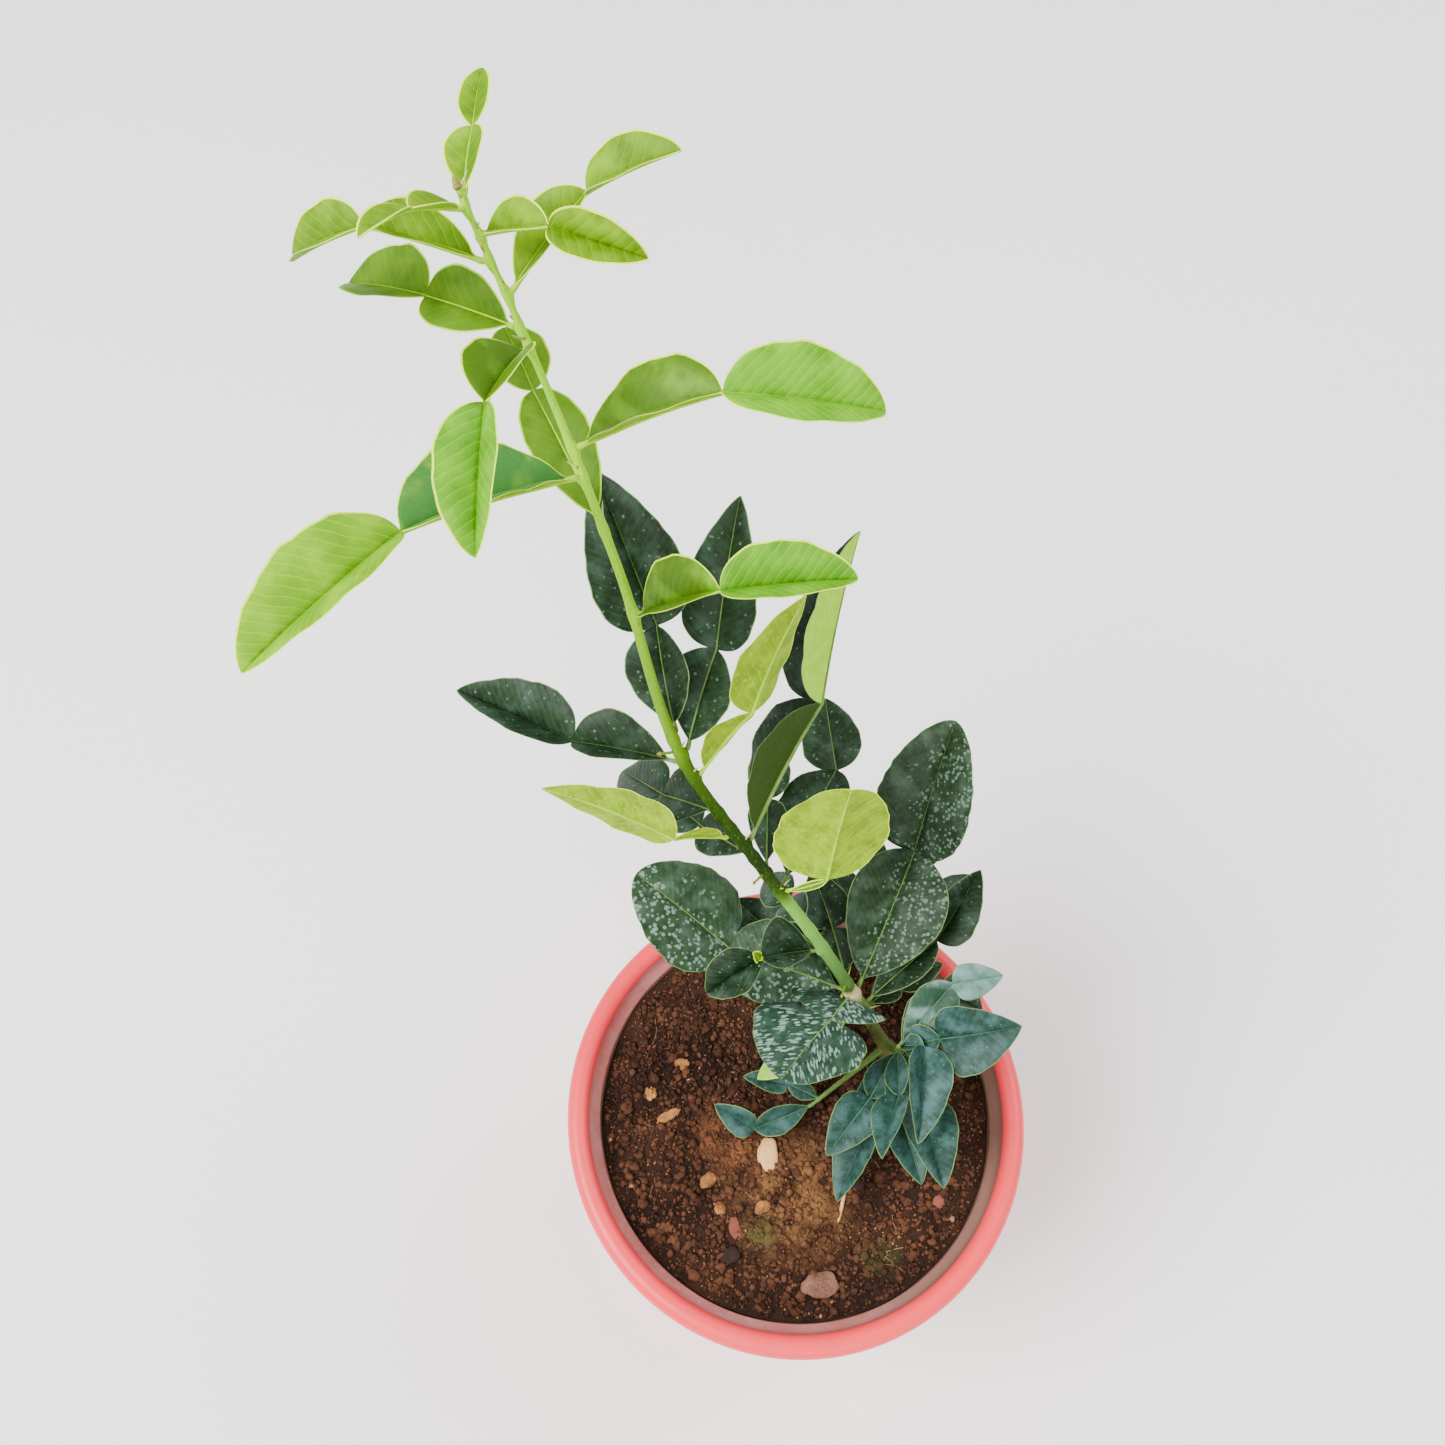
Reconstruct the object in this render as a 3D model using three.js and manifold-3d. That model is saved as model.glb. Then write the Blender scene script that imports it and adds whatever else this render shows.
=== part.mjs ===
import * as THREE from 'three';
import { mergeVertices } from 'three/addons/utils/BufferGeometryUtils.js';
import Module from 'manifold-3d';

// A young makrut lime tree in a round plastic pot.
// Millimetres, +Z up. The origin is the centre of the pot's flat underside.
// A bearing is degrees from +X towards +Y, a rise is degrees above level.

// Pot
const POT_HEIGHT = 170;
const RIM_RADIUS = 100;
const LIP_WIDTH = 9.5;
const LIP_BAND = 24;
const BODY_TOP_RADIUS = 94;
const BASE_RADIUS = 68;
const BASE_EDGE = 2.5;
const WALL = 3;
const THROAT_RADIUS = 86.5;
const THROAT_DROP = 12;
const LIP_ARC_STEPS = 6;
const POT_SIDES = 40;
const DRAIN_COUNT = 6;
const DRAIN_RADIUS = 5.5;
const DRAIN_CIRCLE = 42;
const DRAIN_SIDES = 12;

// Soil
const SOIL_LEVEL = 156;
const SOIL_GAP = 0.35;
const SOIL_RINGS = 14;
const SOIL_DIP = 2.4;
const SOIL_SEAT_RADIUS = 12;
// Rows of lumps in the soil: how far apart they are, their bearing, shift and height
const SOIL_LUMPS = [
  [31, 20, 0.4, 0.45],
  [28, 75, 1.9, 0.45],
  [34, 130, 4, 0.5],
  [26, 165, 2.6, 0.4],
];

// Trunk: its foot, then a row for each flush of growth: length, bearing, lean from upright
const TRUNK_FOOT = [44, 26];
const FLUSHES = [
  [90, 149, 25],
  [70, 157, 25],
  [82, 156, 24],
  [75, 124, 21],
  [57, 128, 25],
  [53, 133, 26],
];
const TRUNK_SIDES = 10;
const TRUNK_STEPS = 46;
const TRUNK_RADIUS = 2.9;
const TRUNK_TIP_RADIUS = 0.45;
const TRUNK_TAPER = 0.75;
const FLARE = 3;
const FLARE_HEIGHT = 5;
const FLARE_LOBES = 4;
const FLARE_LOBE_SHARE = 0.3;
const NODE_SWELL = 0.3;
const NODE_REACH = 3;

// Leaf: clearances and proportions shared by all leaves
const SEAT_GAP = 0.3;
const PETIOLE_RADIUS = 0.7;
const PETIOLE_SHARE = 0.08;
const LEAF_ARCH = 0.03;
const LEAST_THICKNESS = 0.8;
const THICKNESS_RATIO = 0.012;
const EDGE_SHARE = 0.6;
const TIP_HALF_WIDTH = 0.5;
const WING_STATIONS = [0, 0.1, 0.28, 0.5, 0.74, 0.93, 1];
const BLADE_STATIONS = [0.05, 0.17, 0.36, 0.58, 0.8, 0.93, 1];

// Where along it each part is widest, and how full its outline is, on young leaves, on old ones,
// and on those that end bluntly
const YOUNG_OUTLINE = { wingPeak: 0.58, wingFull: 0.5, bladePeak: 0.42, bladeFull: 0.58 };
const OLD_OUTLINE = { wingPeak: 0.62, wingFull: 0.55, bladePeak: 0.3, bladeFull: 0.75 };
const BLUNT_OUTLINE = { wingPeak: 0.62, wingFull: 0.48, bladePeak: 0.38, bladeFull: 0.52 };
const YOUNG_FROM = 290;

// Leaves on the trunk, from the tip down. at is millimetres up the trunk.
// wing and blade are [bearing, rise, length, half width, roll about the midrib], and fold is how
// far the left and the right half of the leaf are lifted.
const TRUNK_LEAVES = {
  leaf_tip_upright: { at: 425, wing: [85, 13, 19, 6, 18], blade: [86, 9, 17, 4.5, 8], fold: [28, 28] },
  leaf_tip_left: { at: 423, wing: [228, 30, 17, 5, -8], blade: [240, 16, 17, 4.5, -12], fold: [28, 28] },
  leaf_tip_right: { at: 416, wing: [335, 26, 22, 7, -14], blade: [339, -3, 24, 7.5, -36], fold: [44, 44] },
  leaf_top_left: { at: 410, wing: [179, 18, 29, 9, -2], blade: [172, -32, 24, 9, 8], fold: [38, 38] },
  leaf_top_right: { at: 401, wing: [28, 40, 31, 8.5, -2], blade: [358, 28, 25, 8.5, -2], fold: [36, 36] },
  leaf_upper_left: { at: 392, wing: [153, -5, 28, 10, 20], blade: [148, -20, 30, 12, 0], fold: [30, 30] },
  leaf_upper_front: { at: 387, wing: [257, 21, 31, 11, -6], blade: [267, -24, 36, 11, -16], fold: [42, 42] },
  leaf_long_right: { at: 357, wing: [359, 29, 45, 14, 10], blade: [4, -14, 43, 14, -10], fold: [36, 36] },
  leaf_upper_back: { at: 331, wing: [118, 16, 45, 10, 4], blade: [113, 4, 24, 9, 0], fold: [22, 22] },
  leaf_long_left: { at: 349, wing: [219, 20, 55, 16, -6], blade: [227, -6, 50, 15, 0], fold: [42, 42] },
  leaf_bright_right: { at: 301, wing: [339, 44, 38, 13, -12], blade: [3, 4, 37, 12.5, -6], fold: [46, 46] },
  leaf_back_left: { at: 248, wing: [100, 50, 38, 12, 24], blade: [116, 34, 50, 17, 10], fold: [30, 30] },
  leaf_back_middle: { at: 240, wing: [62, 48, 38, 12, 10], blade: [78, 44, 48, 13, 14], fold: [16, 16] },
  leaf_side_left: { at: 236, wing: [167, -4, 38, 13, -4], blade: [151, -8, 48, 14, -2], fold: [44, 44] },
  leaf_pale_upright: { at: 228, wing: [26, 52, 34, 10, 80], blade: [58, 40, 41, 14, 106], fold: [12, 12] },
  leaf_left_behind: { at: 204, wing: [144, -34, 30, 12, 14], blade: [131, -40, 34, 11, 10], fold: [20, 20] },
  leaf_pale_left: { at: 193, wing: [210, 40, 29, 8, -66], blade: [164, 16, 47, 14, -98], fold: [8, 8] },
  leaf_back_tall: { at: 182, wing: [53, 44, 60, 17, 30], blade: [76, 22, 61, 18, 34], fold: [14, 84] },
  leaf_left_low: { at: 172, wing: [137, -26, 30, 9, 26], blade: [127, -32, 36, 10, 20], fold: [18, 18] },
  leaf_back_short: { at: 160, wing: [88, -12, 34, 8, 0], blade: [86, -22, 36, 9, 0], fold: [20, 20] },
  leaf_back_lobed: { at: 146, wing: [64, 10, 52, 16, 30], blade: [95, -6, 34, 12, 12], fold: [14, 14] },
  leaf_pale_front: { at: 147, wing: [350, 48, 25, 2, -60], blade: [250, 115, 44, 22, -28], fold: [14, 14] },
  leaf_low_under: { at: 113, wing: [113, -36, 23, 8, 20], blade: [117, -44, 27, 9, 24], fold: [16, 16] },
  leaf_left_big: { at: 60, wing: [161, 2, 55, 18, 8], blade: [146, 22, 51, 23, -5], fold: [6, 6] },
  leaf_left_small: { at: 98, wing: [191, 2, 25, 16, -35], blade: [201, -40, 31, 14, -17], fold: [19, 77] },
  leaf_left_round: { at: 50, wing: [142, -6, 30, 11, 10], blade: [134, -4, 42, 16, 10], fold: [12, 12] },
  leaf_back_low: { at: 66, wing: [102, -1, 25, 10, 0], blade: [108, 9, 27, 11, -6], fold: [14, 14] },
  leaf_left_under: { at: 50, wing: [217, -26, 27, 7, 0], blade: [210, -20, 29, 8, 0], fold: [14, 14] },
  leaf_right_tall: { at: 57, wing: [64, 27, 66, 23, -12], blade: [71, 48, 61, 22, 14], fold: [24, 24] },
  leaf_front_big: { at: 60, wing: [237, 25, 20, 22, -19], blade: [230, 8, 33, 28, -28], fold: [11, 11] },
  leaf_right_under: { at: 41, wing: [41, -8, 20, 7, 0], blade: [24, -6, 24, 8, 0], fold: [20, 20] },
  leaf_right_folded: { at: 46, wing: [37, 20, 43, 10, 0], blade: [55, 18, 36, 12, -14], fold: [30, 30] },
};
const BLUNT_LEAVES = ['leaf_pale_front', 'leaf_left_big', 'leaf_right_tall', 'leaf_front_big'];

// Side shoots. A bough is [millimetres up the trunk, bearing, rise, length, foot radius, tip radius].
// Its foliage is a twig, [bearing, rise, length, radius], and leaves that are at millimetres up it.
const SHOOTS = {
  right: {
    bough: [14, 300, 60, 10, 1.9, 1.3],
    twig: [240, 78, 36, 1.2],
    leaves: [
      { at: 35, wing: [46, 22, 34, 10, -11], blade: [8, 5, 21, 8, -21], fold: [18, 18] },
      { at: 33, wing: [51, 15, 28, 8, 11], blade: [350, -40, 28, 11, 12], fold: [35, 35] },
      { at: 30, wing: [340, 56, 16, 5, 16], blade: [263, -5, 38, 12, 24], fold: [40, 30] },
      { at: 27, wing: [357, 50, 23, 8, -16], blade: [2, 28, 34, 16, -32], fold: [24, 24] },
      { at: 20, wing: [265, 24, 24, 6, -25], blade: [250, 13, 28, 9, -36], fold: [28, 28] },
      { at: 14, wing: [268, 8, 30, 7, 0], blade: [284, 2, 27, 9, 0], fold: [20, 20] },
      { at: 11, wing: [284, 24, 28, 8, 9], blade: [280, 12, 36, 13, 6], fold: [30, 30] },
      { at: 7, wing: [238, 7, 25, 7, -6], blade: [230, -7, 30, 10, 0], fold: [14, 14] },
      { at: 4, wing: [247, -4, 35, 10, -16], blade: [244, -14, 33, 10, -30], fold: [26, 26] },
    ],
  },
  low_left: {
    bough: [8, 218, 5, 30, 1.5, 1],
    twig: [218, 8, 9, 0.9],
    leaves: [
      { at: 8, wing: [203, 6, 28, 7, 20], blade: [150, 6, 20, 7, 20], fold: [30, 30] },
      { at: 4, wing: [160, 22, 16, 5, 0], blade: [172, 8, 20, 6, 0], fold: [24, 24] },
    ],
  },
  back: {
    bough: [36, 72, 6, 20, 1.7, 1.1],
    twig: [68, 12, 28, 1],
    leaves: [
      { at: 27, wing: [66, 4, 20, 7, 0], blade: [74, -12, 28, 9, 0], fold: [20, 20] },
      { at: 22, wing: [118, 12, 22, 7, 0], blade: [108, -8, 30, 9, 0], fold: [20, 20] },
      { at: 16, wing: [28, 4, 22, 7, 0], blade: [38, -14, 28, 9, 0], fold: [20, 20] },
      { at: 9, wing: [128, -4, 24, 7, 0], blade: [118, -16, 30, 9, 0], fold: [20, 20] },
      { at: 4, wing: [40, -14, 24, 7, 0], blade: [54, -12, 30, 9, 0], fold: [20, 20] },
    ],
  },
};

const BOUGH_SIDES = 8;
const TWIG_SIDES = 6;
const TWIG_SEAT_GAP = 0.8;

const YOUNG = { color: 0x9bc81a, roughness: 0.45, metalness: 0 };
const OLD = { color: 0x35532b, roughness: 0.35, metalness: 0 };
const PALE = { color: 0xbcd653, roughness: 0.6, metalness: 0 };
const BARK = { color: 0x5f7a34, roughness: 0.7, metalness: 0 };
const PLASTIC = { color: 0xe08583, roughness: 0.45, metalness: 0 };
const EARTH = { color: 0x5e3624, roughness: 0.95, metalness: 0 };

const wasm = await Module();
wasm.setup();

const radians = THREE.MathUtils.degToRad;
const UP = new THREE.Vector3(0, 0, 1);

// A unit vector from a bearing and a rise
function heading(bearing, rise) {
  const b = radians(bearing);
  const r = radians(rise);
  return new THREE.Vector3(Math.cos(r) * Math.cos(b), Math.cos(r) * Math.sin(b), Math.sin(r));
}

// A closed body through rings of equal count, each running anticlockwise about the way forward
function loft(rings) {
  const sides = rings[0].length;
  const positions = rings.flat().flatMap((p) => [p.x, p.y, p.z]);
  const faces = [];
  for (let i = 0; i < rings.length - 1; i++) {
    for (let j = 0; j < sides; j++) {
      const k = (j + 1) % sides;
      const near = i * sides;
      const far = near + sides;
      faces.push(near + j, near + k, far + k, near + j, far + k, far + j);
    }
  }
  const last = (rings.length - 1) * sides;
  for (let j = 1; j < sides - 1; j++) {
    faces.push(0, j + 1, j);
    faces.push(last, last + j, last + j + 1);
  }
  const geometry = new THREE.BufferGeometry();
  geometry.setAttribute('position', new THREE.Float32BufferAttribute(positions, 3));
  geometry.setIndex(faces);
  return geometry;
}

// A body of revolution from pairs of radius and height
function turned(profile) {
  const points = profile.map(([radius, height]) => new THREE.Vector2(radius, height));
  return new THREE.LatheGeometry(points, POT_SIDES).rotateX(Math.PI / 2);
}

function toSolid(geometry) {
  const bare = new THREE.BufferGeometry();
  bare.setAttribute('position', geometry.getAttribute('position').clone());
  bare.setIndex(geometry.getIndex());
  const merged = mergeVertices(bare, 1e-3);
  const index = merged.getIndex().array;
  const faces = [];
  for (let i = 0; i < index.length; i += 3) {
    const [a, b, c] = index.slice(i, i + 3);
    if (a !== b && b !== c && c !== a) faces.push(a, b, c);
  }
  return new wasm.Manifold(new wasm.Mesh({
    numProp: 3,
    vertProperties: new Float32Array(merged.getAttribute('position').array),
    triVerts: new Uint32Array(faces),
  }));
}

function fromSolid(solid) {
  const mesh = solid.getMesh();
  const geometry = new THREE.BufferGeometry();
  geometry.setAttribute('position', new THREE.BufferAttribute(mesh.vertProperties, 3));
  geometry.setIndex(new THREE.BufferAttribute(mesh.triVerts, 1));
  return geometry;
}

// Pot

function innerWallRadius(height) {
  const share = (height - WALL) / (POT_HEIGHT - THROAT_DROP - WALL);
  return THREE.MathUtils.lerp(BASE_RADIUS - WALL, THROAT_RADIUS, share);
}

function potProfile() {
  const lipRadius = LIP_WIDTH / 2;
  const lipCentre = RIM_RADIUS - lipRadius;
  const lipHeight = POT_HEIGHT - lipRadius;
  const profile = [
    [0, 0],
    [BASE_RADIUS - BASE_EDGE, 0],
    [BASE_RADIUS, BASE_EDGE],
    [BODY_TOP_RADIUS, POT_HEIGHT - LIP_BAND],
    [RIM_RADIUS - 1, POT_HEIGHT - LIP_BAND],
  ];
  for (let i = 0; i <= LIP_ARC_STEPS; i++) {
    const angle = (Math.PI * i) / LIP_ARC_STEPS;
    profile.push([lipCentre + lipRadius * Math.cos(angle), lipHeight + lipRadius * Math.sin(angle)]);
  }
  profile.push([THROAT_RADIUS, POT_HEIGHT - THROAT_DROP]);
  profile.push([innerWallRadius(WALL), WALL]);
  profile.push([0, WALL]);
  return profile;
}

function potGeometry() {
  let pot = toSolid(turned(potProfile()));
  for (let i = 0; i < DRAIN_COUNT; i++) {
    const angle = (2 * Math.PI * (i + 0.5)) / DRAIN_COUNT;
    const drill = new THREE.CylinderGeometry(DRAIN_RADIUS, DRAIN_RADIUS, 4 * WALL, DRAIN_SIDES);
    drill.rotateX(Math.PI / 2);
    drill.translate(DRAIN_CIRCLE * Math.cos(angle), DRAIN_CIRCLE * Math.sin(angle), 0);
    pot = pot.subtract(toSolid(drill));
  }
  return fromSolid(pot);
}

// Soil

// How far the surface sinks below its level, between lumps, save round the trunk's foot
function soilDip(x, y) {
  const wave = Math.sin(x / 11 + 1.3) * Math.cos(y / 13) + Math.sin((x + y) / 19);
  let lump = 0;
  for (const [spacing, bearing, shift, height] of SOIL_LUMPS) {
    const along = x * Math.cos(radians(bearing)) + y * Math.sin(radians(bearing));
    lump += height * Math.sin((2 * Math.PI * along) / spacing + shift);
  }
  const away = Math.hypot(x - TRUNK_FOOT[0], y - TRUNK_FOOT[1]) / SOIL_SEAT_RADIUS;
  return ((SOIL_DIP / 4) * (wave + 2) - lump) * THREE.MathUtils.smoothstep(away, 1, 3);
}

function soilGeometry() {
  const floor = WALL + SOIL_GAP;
  const edge = innerWallRadius(SOIL_LEVEL) - SOIL_GAP;
  const profile = [[0, floor], [innerWallRadius(floor) - SOIL_GAP, floor]];
  for (let i = SOIL_RINGS; i >= 0; i--) profile.push([(edge * i) / SOIL_RINGS, SOIL_LEVEL]);
  const geometry = turned(profile);
  const position = geometry.getAttribute('position');
  for (let i = 0; i < position.count; i++) {
    const [x, y, z] = [position.getX(i), position.getY(i), position.getZ(i)];
    const isTop = z > SOIL_LEVEL - 1 && Math.hypot(x, y) < edge - 1;
    if (isTop) position.setZ(i, z - soilDip(x, y));
  }
  return geometry;
}

// Limbs

// Rings along a curve, with a radius for each distance and angle, and an optional upright foot
function limbRings(path, stations, sides, radiusAt, uprightUntil = 0) {
  const length = path.getLength();
  return stations.map((station) => {
    const share = Math.min(1, station / length);
    const centre = path.getPointAt(share);
    const forward = path.getTangentAt(share);
    if (uprightUntil) forward.lerpVectors(UP, forward, Math.min(1, station / uprightUntil)).normalize();
    const across = new THREE.Vector3(1, 0, 0).addScaledVector(forward, -forward.x).normalize();
    const back = new THREE.Vector3().crossVectors(forward, across);
    const ring = [];
    for (let j = 0; j < sides; j++) {
      const angle = (2 * Math.PI * j) / sides;
      const radius = radiusAt(station, angle);
      const point = centre.clone().addScaledVector(across, radius * Math.cos(angle));
      ring.push(point.addScaledVector(back, radius * Math.sin(angle)));
    }
    return ring;
  });
}

const trunkKnots = [new THREE.Vector3(...TRUNK_FOOT, SOIL_LEVEL + SEAT_GAP)];
for (const [length, bearing, lean] of FLUSHES) {
  trunkKnots.push(trunkKnots.at(-1).clone().addScaledVector(heading(bearing, 90 - lean), length));
}
const trunkPath = new THREE.CatmullRomCurve3(trunkKnots, false, 'centripetal');
const trunkLength = trunkPath.getLength();
const trunkNodes = [
  ...Object.values(TRUNK_LEAVES).map((leaf) => leaf.at),
  ...Object.values(SHOOTS).map((shoot) => shoot.bough[0]),
];

function trunkRadius(distance) {
  const left = Math.max(0, 1 - distance / trunkLength);
  const plain = TRUNK_TIP_RADIUS + (TRUNK_RADIUS - TRUNK_TIP_RADIUS) * left ** TRUNK_TAPER;
  const nearest = Math.min(...trunkNodes.map((node) => Math.abs(node - distance)));
  return plain + NODE_SWELL * Math.exp(-((nearest / NODE_REACH) ** 2));
}

// How much further out than that the foot flares, at most or for one side of it
function flareWidth(distance, lobe = 1) {
  return FLARE * (1 + FLARE_LOBE_SHARE * lobe) * Math.exp(-((distance / FLARE_HEIGHT) ** 2));
}

function trunkGeometry() {
  const stations = [0, 1.5, 3.5, 6];
  const step = (trunkLength - 6) / (TRUNK_STEPS - 4);
  while (stations.length <= TRUNK_STEPS) stations.push(stations.at(-1) + step);
  const radiusAt = (distance, angle) => {
    return trunkRadius(distance) + flareWidth(distance, Math.cos(FLARE_LOBES * angle));
  };
  return loft(limbRings(trunkPath, stations, TRUNK_SIDES, radiusAt, 2 * FLARE_HEIGHT));
}

// A point just clear of the trunk, on the side that the direction leads to
function trunkSeat(distance, direction, footRadius) {
  const share = distance / trunkLength;
  const along = trunkPath.getTangentAt(share);
  const slope = direction.dot(along);
  const outward = direction.clone().addScaledVector(along, -slope).normalize();
  const surface = trunkRadius(distance) + flareWidth(distance - footRadius);
  const clear = surface + SEAT_GAP + footRadius * Math.abs(slope);
  return trunkPath.getPointAt(share).addScaledVector(outward, clear);
}

// Leaves

// A rounded outline that is 0 at both ends and 1 at its peak
function swell(share, peak, full) {
  const bent = share ** (Math.log(0.5) / Math.log(peak));
  return Math.max(0, Math.sin(Math.PI * bent)) ** full;
}

function wingHalfWidth(share, widest, outline) {
  const past = Math.max(0, (share - PETIOLE_SHARE) / (1 - PETIOLE_SHARE));
  return Math.max(PETIOLE_RADIUS, widest * swell(past, outline.wingPeak, outline.wingFull));
}

function bladeHalfWidth(share, widest, outline) {
  return Math.max(TIP_HALF_WIDTH, widest * swell(share, outline.bladePeak, outline.bladeFull));
}

// Rings for one of a leaf's two parts, whose midrib arches gently from start to end
function leafRings(start, end, [bearing, rise, , , roll], fold, thickness, stations, halfWidthAt) {
  const level = heading(bearing - 90, 0);
  const above = heading(bearing, rise + 90);
  const turn = radians(roll);
  const side = level.clone().multiplyScalar(Math.cos(turn)).addScaledVector(above, Math.sin(turn));
  const face = above.clone().multiplyScalar(Math.cos(turn)).addScaledVector(level, -Math.sin(turn));
  const chord = end.clone().sub(start);
  const arch = chord.length() * LEAF_ARCH;
  return stations.map((share) => {
    const height = 4 * arch * share * (1 - share);
    const slope = 4 * arch * (1 - 2 * share);
    const middle = start.clone().addScaledVector(chord, share).addScaledVector(face, height);
    const forward = chord.clone().addScaledVector(face, slope).normalize();
    const normal = new THREE.Vector3().crossVectors(side, forward).normalize();
    const half = halfWidthAt(share);
    const point = (across, lift) => {
      const tilt = radians(across < 0 ? fold[0] : fold[1]);
      const lifted = half * Math.abs(across) * Math.sin(tilt) + lift * thickness;
      const placed = middle.clone().addScaledVector(side, half * across * Math.cos(tilt));
      return placed.addScaledVector(normal, lifted);
    };
    const edge = EDGE_SHARE / 2;
    const leftAndTop = [point(-1, -edge), point(-1, edge), point(0, 0.5)];
    return [...leftAndTop, point(1, edge), point(1, -edge), point(0, -0.5)];
  });
}

// A leaf from its seat to its tip. root is the point on the limb's axis that its sizes start from.
function leafGeometry(leaf, outline, root, seat) {
  const [wingBearing, wingRise, wingLength, wingHalf] = leaf.wing;
  const [bladeBearing, bladeRise, bladeLength, bladeHalf] = leaf.blade;
  const thickness = Math.max(LEAST_THICKNESS, THICKNESS_RATIO * (wingLength + bladeLength));
  const joint = root.clone().addScaledVector(heading(wingBearing, wingRise), wingLength);
  const tip = joint.clone().addScaledVector(heading(bladeBearing, bladeRise), bladeLength);
  const wingHalfAt = (share) => wingHalfWidth(share, wingHalf, outline);
  const bladeHalfAt = (share) => bladeHalfWidth(share, bladeHalf, outline);
  const wing = leafRings(seat, joint, leaf.wing, leaf.fold, thickness, WING_STATIONS, wingHalfAt);
  const blade = leafRings(joint, tip, leaf.blade, leaf.fold, thickness, BLADE_STATIONS, bladeHalfAt);
  return loft([...wing, ...blade]);
}

function trunkLeafGeometry(name, leaf) {
  const [bearing, rise] = leaf.wing;
  const root = trunkPath.getPointAt(leaf.at / trunkLength);
  const seat = trunkSeat(leaf.at, heading(bearing, rise), PETIOLE_RADIUS + LEAST_THICKNESS / 2);
  const pointed = leaf.at > YOUNG_FROM ? YOUNG_OUTLINE : OLD_OUTLINE;
  return leafGeometry(leaf, BLUNT_LEAVES.includes(name) ? BLUNT_OUTLINE : pointed, root, seat);
}

// Side shoots

function boughPath([at, bearing, rise, length, radius]) {
  const direction = heading(bearing, rise);
  const start = trunkSeat(at, direction, radius);
  return new THREE.LineCurve3(start, start.clone().addScaledVector(direction, length));
}

function boughGeometry(bough) {
  const [, , , length, radius, tipRadius] = bough;
  const radiusAt = (distance) => THREE.MathUtils.lerp(radius, tipRadius, distance / length);
  return loft(limbRings(boughPath(bough), [0, length / 2, length], BOUGH_SIDES, radiusAt));
}

function foliageGeometry({ bough, twig, leaves }) {
  const [bearing, rise, length, radius] = twig;
  const [, boughBearing, boughRise] = bough;
  const start = boughPath(bough).v2.clone();
  start.addScaledVector(heading(boughBearing, boughRise), TWIG_SEAT_GAP);
  const end = start.clone().addScaledVector(heading(bearing, rise), length);
  const path = new THREE.LineCurve3(start, end);
  const radiusAt = (distance) => radius * (1 - (0.5 * distance) / length);
  let solid = toSolid(loft(limbRings(path, [0, length / 2, length], TWIG_SIDES, radiusAt)));
  for (const leaf of leaves) {
    const root = path.getPointAt(leaf.at / length);
    solid = solid.add(toSolid(leafGeometry(leaf, OLD_OUTLINE, root, root)));
  }
  return fromSolid(solid);
}

// Assembly

const tree = new THREE.Group();

function addPart(name, geometry, finish) {
  const mesh = new THREE.Mesh(geometry, new THREE.MeshStandardMaterial(finish));
  mesh.name = name;
  tree.add(mesh);
}

addPart('pot', potGeometry(), PLASTIC);
addPart('soil', soilGeometry(), EARTH);
addPart('trunk', trunkGeometry(), BARK);
for (const [name, leaf] of Object.entries(TRUNK_LEAVES)) {
  const grown = name.includes('pale') ? PALE : OLD;
  addPart(name, trunkLeafGeometry(name, leaf), leaf.at > YOUNG_FROM ? YOUNG : grown);
}
for (const [name, shoot] of Object.entries(SHOOTS)) {
  addPart(`bough_${name}`, boughGeometry(shoot.bough), BARK);
  addPart(`foliage_${name}`, foliageGeometry(shoot), OLD);
}

export default tree;
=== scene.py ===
"""The looks of a young makrut lime tree in a round plastic pot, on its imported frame."""

import logging
import math
from dataclasses import dataclass, field, replace
from enum import Enum
from functools import cache
from typing import Any, ClassVar

import bmesh
import bpy
import numpy as np
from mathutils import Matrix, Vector


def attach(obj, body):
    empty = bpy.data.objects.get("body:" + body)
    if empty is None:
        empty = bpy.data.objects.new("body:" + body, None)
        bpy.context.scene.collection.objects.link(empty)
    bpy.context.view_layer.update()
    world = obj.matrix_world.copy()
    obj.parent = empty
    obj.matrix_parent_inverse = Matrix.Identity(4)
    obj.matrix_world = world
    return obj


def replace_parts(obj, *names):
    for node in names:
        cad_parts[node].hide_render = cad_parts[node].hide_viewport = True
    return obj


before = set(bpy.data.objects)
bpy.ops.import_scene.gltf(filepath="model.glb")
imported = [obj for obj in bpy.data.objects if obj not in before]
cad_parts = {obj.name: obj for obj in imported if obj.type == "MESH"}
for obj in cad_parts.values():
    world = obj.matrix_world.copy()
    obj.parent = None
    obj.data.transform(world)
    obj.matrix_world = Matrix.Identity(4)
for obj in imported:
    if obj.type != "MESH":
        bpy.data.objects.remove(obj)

LOG = logging.getLogger("potted_makrut_lime")
MM = 0.001
TURN = 2 * math.pi
UP = np.array([0.0, 0.0, 1.0])
LEAF_MAP = "leaf"
TINT = "tint"
Array = np.ndarray
Material = bpy.types.Material
Colour = tuple[int, int, int]
Profile = list[tuple[float, float]]


def linear(shade: Colour) -> tuple[float, ...]:
    """The linear values that a shader takes for a colour from 0 to 255 as a screen shows it."""
    shares = (value / 255 for value in shade)
    return (*(v / 12.92 if v <= 0.04045 else ((v + 0.055) / 1.055) ** 2.4 for v in shares), 1.0)


def heading(bearing: float, rise: float) -> Array:
    """A unit vector from a bearing, from +X towards +Y, and a rise above level, in degrees."""
    b, r = math.radians(bearing), math.radians(rise)
    return np.array([math.cos(r) * math.cos(b), math.cos(r) * math.sin(b), math.sin(r)])


def unit(vector: Array) -> Array:
    """The vector at length 1."""
    return vector / max(1e-9, float(np.linalg.norm(vector)))


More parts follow.
